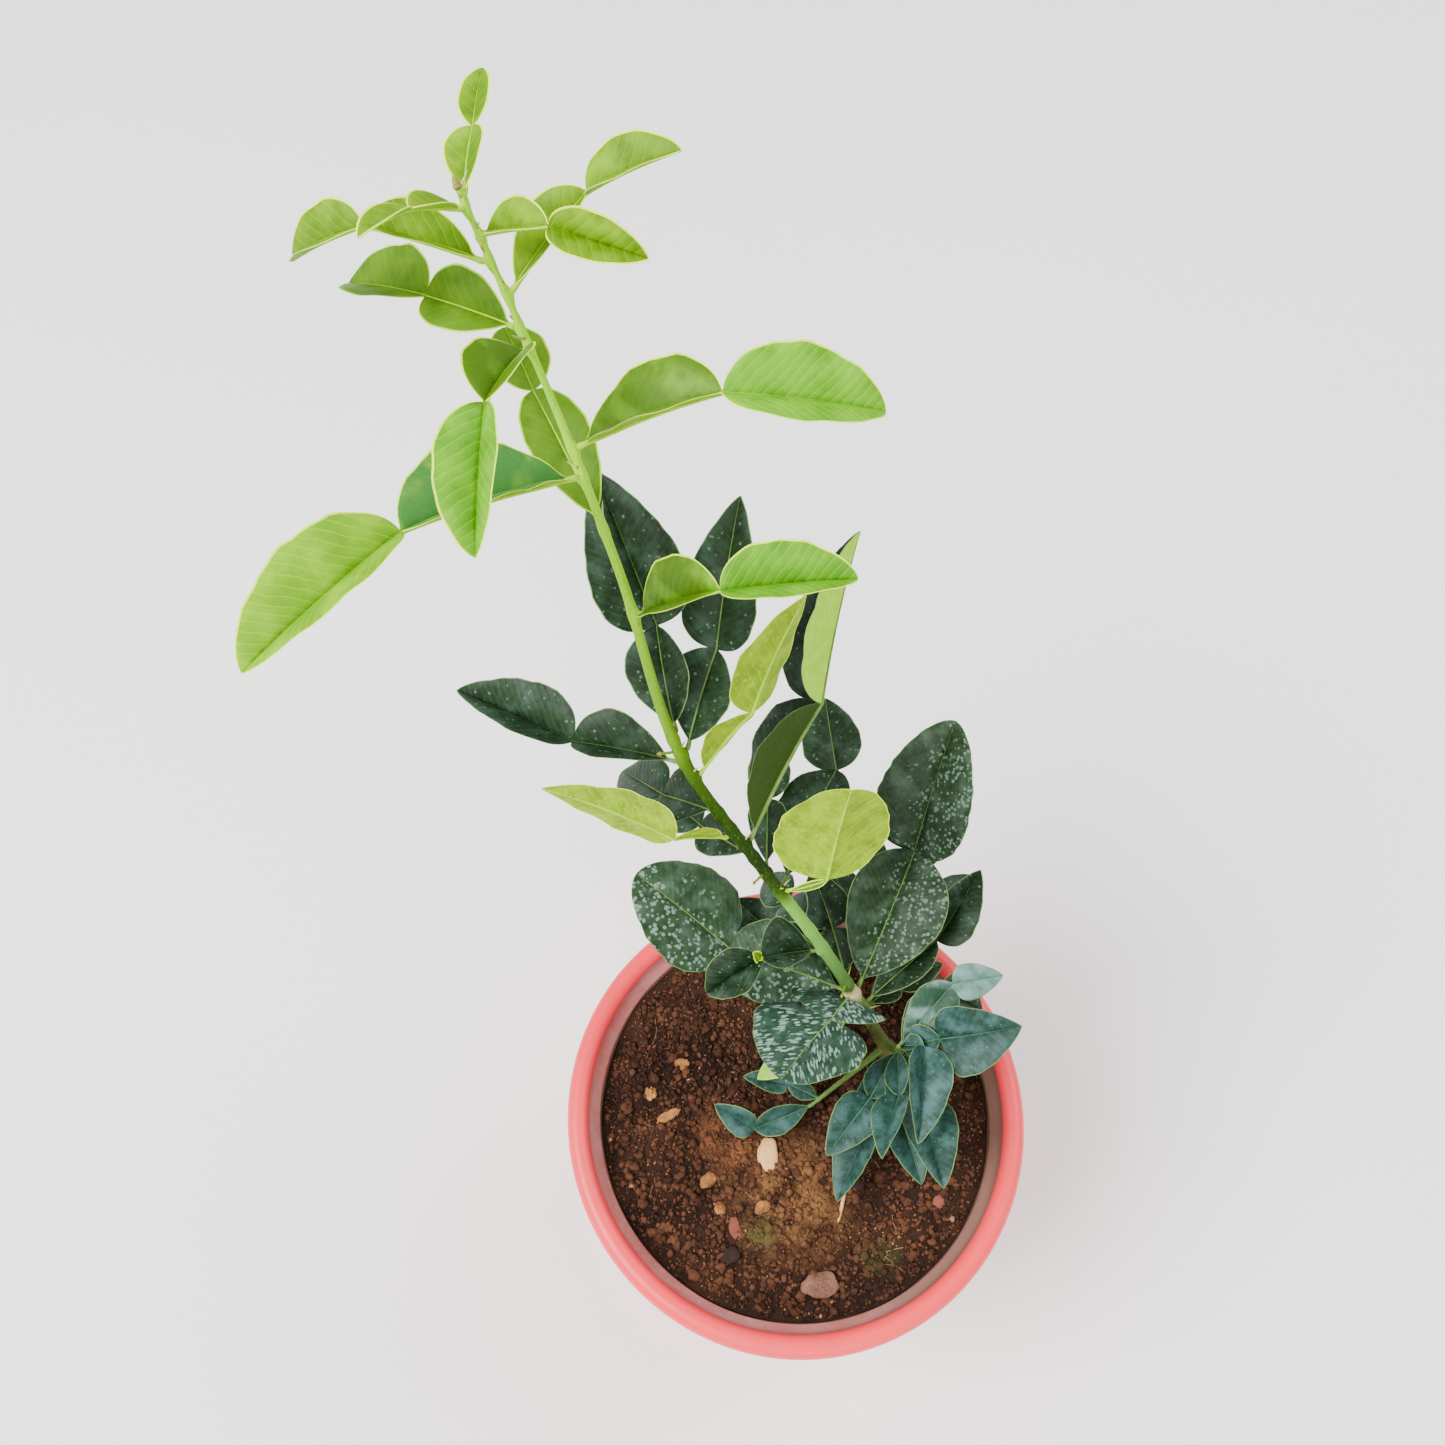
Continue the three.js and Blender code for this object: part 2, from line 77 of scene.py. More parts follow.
def units(rows: Array) -> Array:
    """Each row at length 1."""
    return rows / np.maximum(1e-9, np.linalg.norm(rows, axis=1))[:, None]


def distances(points: Array) -> Array:
    """How far along a line each of its points is."""
    return np.r_[0, np.cumsum(np.linalg.norm(np.diff(points, axis=0), axis=1))]


def around(sides: int) -> Array:
    """The angles of the vertices of a ring."""
    return np.arange(sides) * TURN / sides


def smooth_step(value: Array | float, low: float, high: float) -> Array | float:
    """Rises smoothly from 0 where the value is low to 1 where it is high."""
    share = np.clip((value - low) / (high - low), 0, 1)
    return share * share * (3 - 2 * share)


def placed(name: str, data: bpy.types.ID) -> bpy.types.Object:
    """Adds an object to the scene.

    Args:
        name: Its name.
        data: Its mesh, light or camera.

    Returns:
        The object.
    """
    thing = bpy.data.objects.new(name, data)
    bpy.context.scene.collection.objects.link(thing)
    return thing


def grid_faces(rows: int, columns: int, closed: bool) -> Array:
    """Quads between the rows of a grid of vertices.

    Args:
        rows: The number of rows.
        columns: The number of vertices in a row.
        closed: Whether each row is a ring.

    Returns:
        The faces, row after row.
    """
    across = np.arange(columns if closed else columns - 1)
    following = (across + 1) % columns
    starts = (np.arange(rows - 1) * columns)[:, None]
    corners = (starts + across, starts + following, starts + columns + following, starts + columns + across)
    return np.stack([c.ravel() for c in corners], axis=1)


def tube_faces(rings: int, sides: int) -> Array:
    """Quads of a tube with flat ends.

    Args:
        rings: The number of its rings.
        sides: The number of vertices in a ring, an even number.

    Returns:
        The faces of its wall, then of its ends.
    """
    ends = []
    for base, order in ((0, -1), ((rings - 1) * sides, 1)):
        for i in range(1, sides // 2):
            ends.append([base + i - 1, base + i, base + sides - 1 - i, base + (sides - i) % sides][::order])
    return np.vstack([grid_faces(rings, sides, True), ends])


def turned(profile: Profile, sides: int) -> tuple[Array, Array]:
    """A body of revolution, closed by flat discs at both ends of its profile.

    Args:
        profile: Pairs of radius and height.
        sides: The number of its sides, an even number.

    Returns:
        Its vertices and faces.
    """
    angles = around(sides)
    radii, heights = (np.array(values)[:, None] for values in zip(*profile))
    rings = np.stack(np.broadcast_arrays(radii * np.cos(angles), radii * np.sin(angles), heights), axis=2)
    return rings.reshape(-1, 3), tube_faces(len(profile), sides)


class Path:
    """A centripetal curve through knots, read by the distance along it."""

    steps = 160

    def __init__(self, knots: list[Array]) -> None:
        """Samples the curve finely.

        Args:
            knots: The points that it passes through.
        """
        p = [2 * knots[0] - knots[1], *knots, 2 * knots[-1] - knots[-2]]
        t = np.linspace(0, 1, self.steps, endpoint=False)[:, None]
        spans = []
        for a, b, c, d in zip(p, p[1:], p[2:], p[3:]):
            d0, d1, d2 = (math.sqrt(np.linalg.norm(v - u)) for u, v in ((a, b), (b, c), (c, d)))
            out = ((b - a) / d0 - (c - a) / (d0 + d1) + (c - b) / d1) * d1
            into = ((c - b) / d1 - (d - b) / (d1 + d2) + (d - c) / d2) * d1
            cubic, square = 2 * b - 2 * c + out + into, 3 * c - 3 * b - 2 * out - into
            spans.append(b + out * t + square * t**2 + cubic * t**3)
        self.points = np.vstack([*spans, knots[-1]])
        self.distances = distances(self.points)
        self.length = float(self.distances[-1])

    def at(self, distance: float) -> Array:
        """The point at a distance along the curve."""
        return np.array([np.interp(distance, self.distances, axis) for axis in self.points.T])

    def along(self, distance: float) -> Array:
        """The curve's direction at a distance along it."""
        near, far = max(0.0, distance - 0.5), min(self.length, distance + 0.5)
        return unit(self.at(far) - self.at(near))


@dataclass
class Pile:
    """Bodies that become one mesh: vertices, faces, slots, leaf coordinates and tints."""

    parts: list[tuple[Array, ...]] = field(default_factory=list)
    has_places: bool = False

    def add(
        self, points: Array, faces: Array, slots: Array | int = 0, places: Array | None = None,
        tint: Array | float = 0.0,
    ) -> None:
        """Adds a body.

        Args:
            points: Its vertices, in millimetres.
            faces: Its faces, as rows of vertex numbers of one length.
            slots: The material slot of each face, or of all.
            places: Leaf coordinates of each vertex, in centimetres.
            tint: A number that its material may read, for each vertex or for all.
        """
        count = len(points)
        self.has_places |= places is not None
        places = np.zeros((count, 2)) if places is None else places
        slots, tint = np.broadcast_to(slots, len(faces)), np.broadcast_to(tint, count)
        self.parts.append((points, faces, slots, places, tint))

    def tube(
        self, points: Array, radii: Array, sides: int, slot: int = 0, tint: float = 0.0, places: bool = False
    ) -> None:
        """Adds a tapering tube with closed ends.

        Args:
            points: The points of its axis.
            radii: Its radius at each.
            sides: Its number of sides, an even number.
            slot: Its material slot.
            tint: A number that its material may read.
            places: Whether it takes leaf coordinates from its length.
        """
        forward = units(np.gradient(points, axis=0))
        across = units(np.cross(np.array([1.0, 0, 0]) if abs(forward[0] @ UP) > 0.7 else UP, forward))
        back = np.cross(forward, across)
        angles = around(sides)
        spread = across[:, None] * np.cos(angles)[:, None] + back[:, None] * np.sin(angles)[:, None]
        rings = points[:, None] + spread * radii[:, None, None]
        run = distances(points) / 10
        skin = np.stack(np.broadcast_arrays(run[:, None], angles / 20), axis=2).reshape(-1, 2)
        self.add(rings.reshape(-1, 3), tube_faces(len(points), sides), slot, skin if places else None, tint)

    def to_piece(
        self, name: str, finishes: "list[Finish]", slot: str = "", smooth: bool = True
    ) -> bpy.types.Object:
        """Makes the mesh and its object, which rides on the root body.

        Args:
            name: The piece's name.
            finishes: The finishes of its material slots.
            slot: The record's material slot that the piece belongs to; not used.
            smooth: Whether its faces are shaded smooth.

        Returns:
            The object.
        """
        starts = np.cumsum([0, *(len(part[0]) for part in self.parts)])
        faces = [face for part, start in zip(self.parts, starts) for face in (part[1] + start).tolist()]
        points, slots, places, tints = (
            np.concatenate([part[i] for part in self.parts]) for i in (0, 2, 3, 4)
        )
        mesh = bpy.data.meshes.new(name)
        mesh.from_pydata((points * MM).tolist(), [], faces)
        mesh.polygons.foreach_set("material_index", slots.astype(np.int32))
        mesh.polygons.foreach_set("use_smooth", np.full(len(faces), smooth))
        if self.has_places:
            corners = np.zeros(len(mesh.loops), np.int32)
            mesh.loops.foreach_get("vertex_index", corners)
            layer = mesh.uv_layers.new(name=LEAF_MAP)
            layer.uv.foreach_set("vector", places[corners].astype(np.float32).ravel())
        mesh.attributes.new(TINT, "FLOAT", "POINT").data.foreach_set("value", tints.astype(np.float32))
        for finish in finishes:
            mesh.materials.append(material_of(finish))
        mesh.update()
        piece = placed(name, mesh)
        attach(piece, "root")
        LOG.info("%s: %d faces", name, len(faces))
        return piece


@dataclass
class Socket:
    """A node's output, with the operators of shader maths."""

    shader: "Shader"
    output: bpy.types.NodeSocket

    def __add__(self, other: Any) -> "Socket":
        """The sum."""
        return self.shader.maths("ADD", self, other)

    __radd__ = __add__

    def __mul__(self, other: Any) -> "Socket":
        """The product."""
        return self.shader.maths("MULTIPLY", self, other)

    __rmul__ = __mul__

    def __sub__(self, other: Any) -> "Socket":
        """The difference."""
        return self.shader.maths("SUBTRACT", self, other)

    def __rsub__(self, other: Any) -> "Socket":
        """The difference, the other way round."""
        return self.shader.maths("SUBTRACT", other, self)


class Shader:
    """A material and the node tree behind its one Principled shader."""

    def __init__(self, name: str) -> None:
        """Makes the material with an empty tree.

        Args:
            name: The material's name.
        """
        self.material = bpy.data.materials.new(name)
        self.material.use_nodes = True
        self.tree = self.material.node_tree
        self.tree.nodes.clear()

    def node(self, kind: str, settings: dict[str, Any], inputs: dict[Any, Any]) -> bpy.types.Node:
        """Adds a node.

        Args:
            kind: Its type, without the leading ShaderNode.
            settings: Its settings, of which stops fills a ramp.
            inputs: Values or links for its sockets, by name or number. Colours go from 0 to 255.

        Returns:
            The node.
        """
        made = self.tree.nodes.new("ShaderNode" + kind)
        for name, value in settings.items():
            if name == "stops":
                self._fill_ramp(made.color_ramp, value)
            else:
                setattr(made, name, value)
        for key, value in inputs.items():
            target = made.inputs[key] if isinstance(key, int) else self._named(made.inputs, key)
            if isinstance(value, Socket):
                self.tree.links.new(value.output, target)
            else:
                target.default_value = linear(value) if target.type == "RGBA" else value
        return made

    @staticmethod
    def _named(sockets: Any, name: str) -> bpy.types.NodeSocket:
        """The socket in use that has a name."""
        return next(s for s in sockets if s.enabled and s.name == name)

    @staticmethod
    def _fill_ramp(ramp: bpy.types.ColorRamp, stops: tuple[tuple[float, Colour], ...]) -> None:
        """Gives a ramp its stops.

        Args:
            ramp: The ramp.
            stops: Places and colours, from low to high.
        """
        for element, (place, shade) in zip(ramp.elements, (stops[0], stops[-1])):
            element.position, element.color = place, linear(shade)
        for place, shade in stops[1:-1]:
            ramp.elements.new(place).color = linear(shade)

    def read(self, kind: str, settings: dict[str, Any], inputs: dict[Any, Any], output: str) -> Socket:
        """Adds a node and returns the output that has a name."""
        return Socket(self, self._named(self.node(kind, settings, inputs).outputs, output))

    def maths(self, operation: str, *values: Any) -> Socket:
        """Adds a Math node on one value or two."""
        return self.read("Math", {"operation": operation}, dict(enumerate(values)), "Value")

    def axes(self, where: Socket) -> list[Socket]:
        """The x, y and z of coordinates."""
        return [Socket(self, out) for out in self.node("SeparateXYZ", {}, {"Vector": where}).outputs]

    def step(self, value: Any, low: float, high: float) -> Socket:
        """Rises smoothly from 0 where value is low to 1 where it is high."""
        inputs = {"Value": value, "From Min": low, "From Max": high}
        return self.read("MapRange", {"interpolation_type": "SMOOTHSTEP"}, inputs, "Result")

    def mix(self, factor: Any, first: Any, second: Any) -> Socket:
        """Blends two colours."""
        return self.read("Mix", {"data_type": "RGBA"}, {"Factor": factor, "A": first, "B": second}, "Result")

    def noise(self, where: Socket, scale: float, detail: float = 3.0, roughness: float = 0.5) -> Socket:
        """Soft noise from 0 to 1."""
        inputs = {"Vector": where, "Scale": scale, "Detail": detail, "Roughness": roughness}
        return self.read("TexNoise", {}, inputs, "Fac")

    def cells(self, where: Socket, scale: float, feature: str = "F1") -> Socket:
        """The distance to the nearest of many scattered points, or to the edge of their cells."""
        return self.read("TexVoronoi", {"feature": feature}, {"Vector": where, "Scale": scale}, "Distance")

    def object_place(self) -> Socket:
        """Coordinates fixed to the object, in metres."""
        return self.read("TexCoord", {}, {}, "Object")

    def leaf_place(self) -> Socket:
        """Coordinates along and across a leaf, in centimetres."""
        return self.read("UVMap", {"uv_map": LEAF_MAP}, {}, "UV")

    def tint(self) -> Socket:
        """The number that the mesh carries."""
        return self.read("Attribute", {"attribute_name": TINT}, {}, "Fac")

    def mapped(self, where: Socket, **inputs: tuple[float, float, float]) -> Socket:
        """The coordinates, moved or stretched."""
        return self.read("Mapping", {}, {"Vector": where, **inputs}, "Vector")

    def bump(self, height: Socket, distance: float) -> Socket:
        """A normal from a height in the given depth, in metres."""
        return self.read("Bump", {}, {"Height": height, "Distance": distance, "Strength": 1.0}, "Normal")

    def finish(self, **inputs: Any) -> Material:
        """Adds the Principled shader and the output.

        Args:
            **inputs: The Principled shader's sockets, with _ for a space.

        Returns:
            The material.
        """
        sockets = {name.replace("_", " "): value for name, value in inputs.items()}
        self.node("OutputMaterial", {}, {"Surface": self.read("BsdfPrincipled", {}, sockets, "BSDF")})
        return self.material


@dataclass(frozen=True)
class Finish:
    """A surface finish, known by its name."""

    name: str

    def made(self) -> Material:
        """Builds the material."""
        raise NotImplementedError


@cache
def material_of(finish: Finish) -> Material:
    """The material of a finish, made once."""
    return finish.made()


@dataclass(frozen=True)
class LeafFinish(Finish):
    """The skin of one side of a leaf, with its veins, specks and painted sheen."""

    deep: Colour
    bright: Colour
    vein: Colour
    # The colour of the specks, and of the painted sheen: paler patches that stand in for light reflected off
    # the leaf.
    sheen_and_speck: Colour = (96, 126, 112)
    veins: float = 3.4
    vein_share: float = 0.25
    cloud: float = 2.6
    relief: float = 1.0
    painted_sheen: float = 0.0
    speck_share: float = 0.0
    speck_scale: float = 5.5
    speck_reach: float = 0.6
    speck_shear: float = 0.0
    speck_stretch: float = 1.0
    speck_side: float = 0.0
    foot: Colour | None = None
    foot_end: float = 0.0
    foot_share: float = 0.94
    roughness: float = 0.4
    gloss: float = 0.16
    coat: float = 0.03

    def made(self) -> Material:
        """Builds the material.

        Returns:
            The material.
        """
        s = Shader(self.name)
        place = s.leaf_place()
        along, across, _ = s.axes(place)
        out = s.maths("ABSOLUTE", across)
        drift = (along - out * 0.8) * self.veins + s.noise(place, 1.3, 2.0) * 0.9
        ridge = s.maths("ABSOLUTE", s.maths("FRACT", drift) - 0.5) * 2.0
        mottle = s.step(s.noise(place, self.cloud) + s.tint(), 0.3, 0.72)
        skin = s.mix(mottle, self.deep, self.bright)
        skin = s.mix(s.step(ridge, 0.8, 0.98) * self.vein_share, skin, self.vein)
        # A tone of its own near the stalk, up to foot_end. For the folded leaf's underside it is painted
        # shade, and for the painted-light young look a painted sky reflection.
        if self.foot:
            past = s.step(along, self.foot_end - 0.25, self.foot_end)
            skin = s.mix(self.foot_share - past * self.foot_share, skin, self.foot)
        rough = self.roughness + s.noise(place, 6.0) * 0.14
        net = s.step(s.cells(place, 11.0, "DISTANCE_TO_EDGE"), 0.0, 0.14)
        height = s.noise(place, 2.4, 2.0) * 0.5 + net * 0.1 - ridge * ridge * (0.4 * self.relief)
        # Painted sheen: soft paler patches mixed into the base colour, standing in for reflected light.
        if self.painted_sheen:
            painted_sheen_mask = s.step(s.noise(place, 0.9, 3.0, 0.55), 0.46, 0.74)
            skin = s.mix(painted_sheen_mask * self.painted_sheen, skin, self.sheen_and_speck)
            rough = rough + painted_sheen_mask * 0.1
        if self.speck_share:
            parts = {"X": (along - out * self.speck_shear) * self.speck_stretch, "Y": across}
            cast = s.read("CombineXYZ", {}, parts, "Vector")
            size = s.noise(place, 3.4, 2.0) * self.speck_reach
            speck = 1.0 - s.step(s.cells(cast, self.speck_scale) - size, -0.1, 0.04)
            patchy = s.step(s.noise(place, 1.2, 2.0) + across * (0.16 * self.speck_side), 0.36, 0.56)
            dust = speck * patchy * self.speck_share
            skin = s.mix(dust, skin, self.sheen_and_speck)
            rough = rough + dust * 0.25
            height = height + dust * 0.25
        return s.finish(
            Base_Color=skin, Roughness=rough, Normal=s.bump(height, 0.00025), Coat_Weight=self.coat,
            Coat_Roughness=0.3, Specular_IOR_Level=self.gloss,
        )


@dataclass(frozen=True)
class PlainGreen(Finish):
    """The even skin of a midrib, stalk, bud or leaf margin."""

    base: Colour
    other: Colour
    roughness: float = 0.5

    def made(self) -> Material:
        """Builds the material.

        Returns:
            The material.
        """
        s = Shader(self.name)
        place = s.object_place()
        skin = s.mix(s.step(s.noise(place, 220.0), 0.35, 0.65), self.base, self.other)
        normal = s.bump(s.noise(place, 900.0, 2.0), 0.00008)
        return s.finish(Base_Color=skin, Roughness=self.roughness, Normal=normal, Specular_IOR_Level=0.15)


@dataclass(frozen=True)
class StemFinish(Finish):
    """The stem's green bark, from its pale foot through olive wood to the bright tip."""

    name: str = "stem_bark"
    light: Colour = (156, 186, 80)
    dark: Colour = (36, 48, 12)
    pore: Colour = (170, 168, 116)
    stops: tuple[tuple[float, Colour], ...] = (
        (0.0, (84, 76, 46)), (0.03, (96, 104, 58)), (0.125, (88, 114, 56)), (0.137, (198, 186, 134)),
        (0.143, (198, 186, 134)), (0.151, (72, 100, 44)), (0.2, (90, 136, 62)), (0.26, (110, 168, 68)),
        (0.32, (116, 178, 58)), (0.345, (46, 74, 12)), (0.4, (26, 50, 5)), (0.46, (34, 62, 5)),
        (0.54, (58, 92, 8)), (0.57, (100, 142, 8)), (0.65, (112, 156, 28)), (0.72, (134, 186, 10)),
        (0.8, (152, 212, 4)), (1.0, (152, 208, 14)),
    )

    def made(self) -> Material:
        """Builds the material.

        Returns:
            The material.
        """
        s = Shader(self.name)
        place = s.object_place()
        along = s.tint() + (s.noise(place, 60.0) - 0.5) * 0.03
        skin = s.read("ValToRGB", {"stops": self.stops}, {"Fac": along}, "Color")
        fibres = s.noise(s.mapped(place, Scale=(900.0, 900.0, 90.0)), 1.0, 4.0, 0.6)
        skin = s.mix(s.step(fibres, 0.5, 0.8) * 0.14, skin, self.light)
        skin = s.mix((1.0 - s.step(fibres, 0.3, 0.46)) * 0.3, skin, self.dark)
        pores = 1.0 - s.step(s.cells(s.mapped(place, Scale=(1.0, 1.0, 0.45)), 620.0), 0.1, 0.2)
        skin = s.mix(pores * 0.2, skin, self.pore)
        normal = s.bump(fibres * 0.7 + pores * 0.5, 0.00025)
        return s.finish(Base_Color=skin, Roughness=0.5 + fibres * 0.2, Normal=normal, Specular_IOR_Level=0.05)


@dataclass(frozen=True)
class PlasticFinish(Finish):
    """Pink terracotta-coloured moulded plastic, dusty where soil and water reach it, with painted shade on
    one side where given.
    """

    base: Colour
    other: Colour
    dust: Colour
    dust_share: float
    stain_from: float = 0.0
    stain: Colour = (96, 66, 50)
    # A darker colour painted on the +X side as shade.
    painted_shade: Colour | None = None
    roughness: float = 0.38

    def made(self) -> Material:
        """Builds the material.

        Returns:
            The material.
        """
        s = Shader(self.name)
        place = s.object_place()
        right, _, height = s.axes(place)
        cloud = s.noise(place, 14.0, 4.0, 0.6)
        skin = s.mix(s.step(cloud, 0.35, 0.7), self.base, self.other)
        film = s.step(s.noise(place, 38.0, 5.0, 0.65), 0.36, 0.72)
        grit = s.step(s.noise(place, 420.0, 2.0), 0.52, 0.68)
        dust = (film * 0.7 + grit * 0.4) * self.dust_share
        skin = s.mix(dust, skin, self.dust)
        if self.painted_shade:
            # Painted shade: the +X side of the surface takes the darker colour.
            skin = s.mix(s.step(right + (cloud - 0.5) * 0.06, -0.03, 0.07), skin, self.painted_shade)
        if self.stain_from:
            level = height + (s.noise(place, 55.0, 4.0, 0.6) - 0.5) * 0.007
            wet = 1.0 - s.step(level, self.stain_from - 0.003, self.stain_from + 0.004)
            skin = s.mix(wet * 0.8, skin, self.stain)
        scratch = s.step(s.noise(s.mapped(place, Scale=(60.0, 60.0, 700.0)), 1.0), 0.62, 0.72)
        rough = self.roughness + dust * 0.4 + scratch * 0.04
        normal = s.bump(s.noise(place, 800.0, 2.0) * 0.4 + cloud * 0.6, 0.00012)
        return s.finish(Base_Color=skin, Roughness=rough, Normal=normal, Specular_IOR_Level=0.35)


@dataclass(frozen=True)
class EarthFinish(Finish):
    """Crumbly reddish-brown potting soil, or one of the kinds of grain in it."""

    dark: Colour
    light: Colour
    patches: tuple[tuple[float, float, float, Colour], ...] = ()
    scale: float = 1.0
    roughness: float = 0.95
    patch_level: float = 0.155

    def made(self) -> Material:
        """Builds the material.

        Returns:
            The material.
        """
        s = Shader(self.name)
        place = s.object_place()
        patch = s.step(s.noise(place, 32.0 * self.scale, 4.0, 0.65), 0.35, 0.68)
        fine = s.noise(place, 420.0 * self.scale, 4.0, 0.7)
        skin = s.mix(patch, self.dark, self.light)
        skin = s.mix(s.step(fine, 0.35, 0.7) * 0.45, skin, self.light)
        ragged = s.step(s.noise(place, 90.0, 4.0, 0.65), 0.36, 0.62) if self.patches else None
        for x, y, reach, tone in self.patches:
            moved = s.mapped(place, Location=(-x, -y, -self.patch_level))
            away = s.read("VectorMath", {"operation": "LENGTH"}, {"Vector": moved}, "Value")
            skin = s.mix((1.0 - s.step(away, reach * 0.3, reach)) * ragged * 0.8, skin, tone)
        normal = s.bump(fine, 0.0006)
        return s.finish(Base_Color=skin, Roughness=self.roughness, Normal=normal, Specular_IOR_Level=0.12)


class Look(Enum):
    """How a leaf has grown, and the sheen, sky reflection and shade painted on some leaves, which decides its
    finish.
    """

    YOUNG = "young"
    GLOSSY = "young with a glossy blade"
    GLOSSY_LONG = "young with a glossy blade and a long wing"
    DEEP = "young, but already dark"
    # Its blade is a lighter copy of the young green as painted highlight, and its wing is painted blue-green
    # as a painted sky reflection.
    PAINTED_LIGHT = "young with a blue-green wing"
    OLD = "old"
    FOLDED = "old with a pale fold"
    FRESH = "old, small and pale"
    # Its pale blue-grey colour is a painted sheen.
    SHEEN_PAINTED = "old with a blue-grey bloom"
    SPECKLED = "speckled on its left"
    SPOTTED = "speckled on its right"
    STREAKED = "streaked"
    TEAL = "teal"
    PALE = "pale"

    @property
    def is_young(self) -> bool:
        """Whether the leaf has the slim outline and bright margin of a young one."""
        return self in YOUNG_LOOKS


(
    YOUNG, GLOSSY, GLOSSY_LONG, DEEP, PAINTED_LIGHT, OLD, FOLDED, FRESH, SHEEN_PAINTED, SPECKLED, SPOTTED, STREAKED, TEAL,
    PALE,
) = Look
YOUNG_LOOKS = (YOUNG, GLOSSY, GLOSSY_LONG, DEEP, PAINTED_LIGHT)
YOUNG_TOP = LeafFinish(
    "young_leaf_top", (76, 116, 0), (108, 148, 0), (134, 176, 8), vein_share=0.34, cloud=1.1, painted_sheen=0.45,
    sheen_and_speck=(146, 192, 6), gloss=0.1, coat=0.0,
)
GLOSSY_TOP = LeafFinish(
    "young_leaf_top_glossy", (76, 138, 4), (104, 168, 8), (146, 200, 36), vein_share=0.4, cloud=1.1,
    painted_sheen=0.3, sheen_and_speck=(146, 206, 44), gloss=0.12, foot=(70, 106, 0), foot_end=3.4,
)
DEEP_TOP = LeafFinish(
    "young_leaf_top_deep", (58, 94, 4), (80, 120, 6), (104, 146, 20), cloud=1.1, painted_sheen=0.2,
    sheen_and_speck=(122, 166, 40), relief=0.8, gloss=0.1, coat=0.0,
)
# A lighter copy of the young green as painted highlight, with the wing near the stalk painted blue-green as a
# painted reflection of the sky.
PAINTED_LIGHT_TOP = LeafFinish(
    "young_leaf_top_painted_light", (100, 152, 0), (132, 184, 0), (166, 208, 30), vein_share=0.4, cloud=1.1,
    painted_sheen=0.32, sheen_and_speck=(164, 212, 20), gloss=0.1, coat=0.0, foot=(58, 120, 54), foot_end=5.4,
)
YOUNG_UNDER = LeafFinish(
    "young_leaf_under", (100, 142, 6), (124, 166, 14), (90, 132, 10), roughness=0.55, gloss=0.1, coat=0.0,
    cloud=1.4,
)
OLD_TOP = LeafFinish(
    "old_leaf_top", (14, 32, 12), (28, 51, 26), (60, 88, 50), painted_sheen=0.24, relief=0.6, speck_share=0.7,
    speck_scale=4.2, speck_reach=0.38, sheen_and_speck=(98, 130, 112),
)
OLD_UNDER = LeafFinish(
    "old_leaf_under", (66, 98, 34), (88, 120, 52), (56, 86, 28), roughness=0.6, coat=0.0, gloss=0.12,
)
# The dark tone near the stalk is painted shade on this underside.
FOLDED_UNDER = LeafFinish(
    "folded_leaf_under", (146, 196, 20), (164, 212, 44), (136, 186, 30), roughness=0.55, gloss=0.12,
    coat=0.0, foot=(16, 34, 6), foot_end=6.0,
)
SPECKLED_TOP = LeafFinish(
    "speckled_leaf_top", (25, 45, 24), (42, 68, 40), (74, 104, 66), vein_share=0.16, painted_sheen=0.2,
    speck_share=0.7, speck_scale=4.9, speck_reach=0.8, speck_side=-1.0, sheen_and_speck=(128, 156, 138),
)
SPOTTED_TOP = LeafFinish(
    "spotted_leaf_top", (17, 34, 15), (35, 57, 32), (72, 100, 56), vein_share=0.16, painted_sheen=0.24,
    speck_share=0.62, speck_reach=0.74, speck_side=1.0, sheen_and_speck=(116, 144, 122),
)
STREAKED_TOP = LeafFinish(
    "streaked_leaf_top", (26, 50, 36), (38, 66, 50), (80, 110, 76), vein_share=0.1, painted_sheen=0.1,
    sheen_and_speck=(134, 162, 146), speck_share=0.8, speck_scale=3.3, speck_reach=0.9, speck_shear=0.8,
    speck_stretch=2.5, roughness=0.42,
)
TEAL_TOP = LeafFinish(
    "teal_leaf_top", (24, 50, 40), (44, 78, 70), (70, 104, 88), painted_sheen=0.4, sheen_and_speck=(94, 134, 134), relief=0.6,
    speck_share=0.4, speck_scale=4.2, speck_reach=0.34,
)
# Painted sheen: the pale blue-grey base colour and patches stand in for light reflected off this leaf, over a
# darker wing.
SHEEN_PAINTED_TOP = LeafFinish(
    "leaf_top_painted_sheen", (72, 108, 98), (100, 138, 128), (122, 154, 142), painted_sheen=0.5, sheen_and_speck=(146, 180, 174),
    relief=0.6, foot=(38, 66, 48), foot_end=3.4,
)
FRESH_TOP = LeafFinish("small_pale_leaf_top", (120, 166, 50), (156, 200, 80), (176, 212, 110), gloss=0.12)
PALE_TOP = LeafFinish("fresh_leaf_top", (58, 98, 8), (82, 124, 14), (118, 154, 44))
PALE_UNDER = LeafFinish(
    "pale_leaf_under", (106, 136, 0), (138, 172, 0), (164, 198, 0), vein_share=0.4, cloud=1.6, painted_sheen=0.2,
    speck_share=0.4, sheen_and_speck=(176, 206, 10), roughness=0.5, gloss=0.1, coat=0.0, veins=2.6, relief=1.8,
)
YOUNG_RIB = PlainGreen("young_midrib", (150, 194, 14), (168, 210, 36))
OLD_RIB = PlainGreen("old_midrib", (88, 120, 50), (110, 140, 66))
TEAL_RIB = PlainGreen("teal_midrib", (64, 98, 70), (86, 120, 88))
YOUNG_EDGE = PlainGreen("young_leaf_margin", (222, 244, 60), (200, 232, 36))
OLD_EDGE = PlainGreen("old_leaf_margin", (86, 114, 58), (108, 136, 80))
YOUNG_REST = (YOUNG_UNDER, YOUNG_RIB, YOUNG_EDGE)
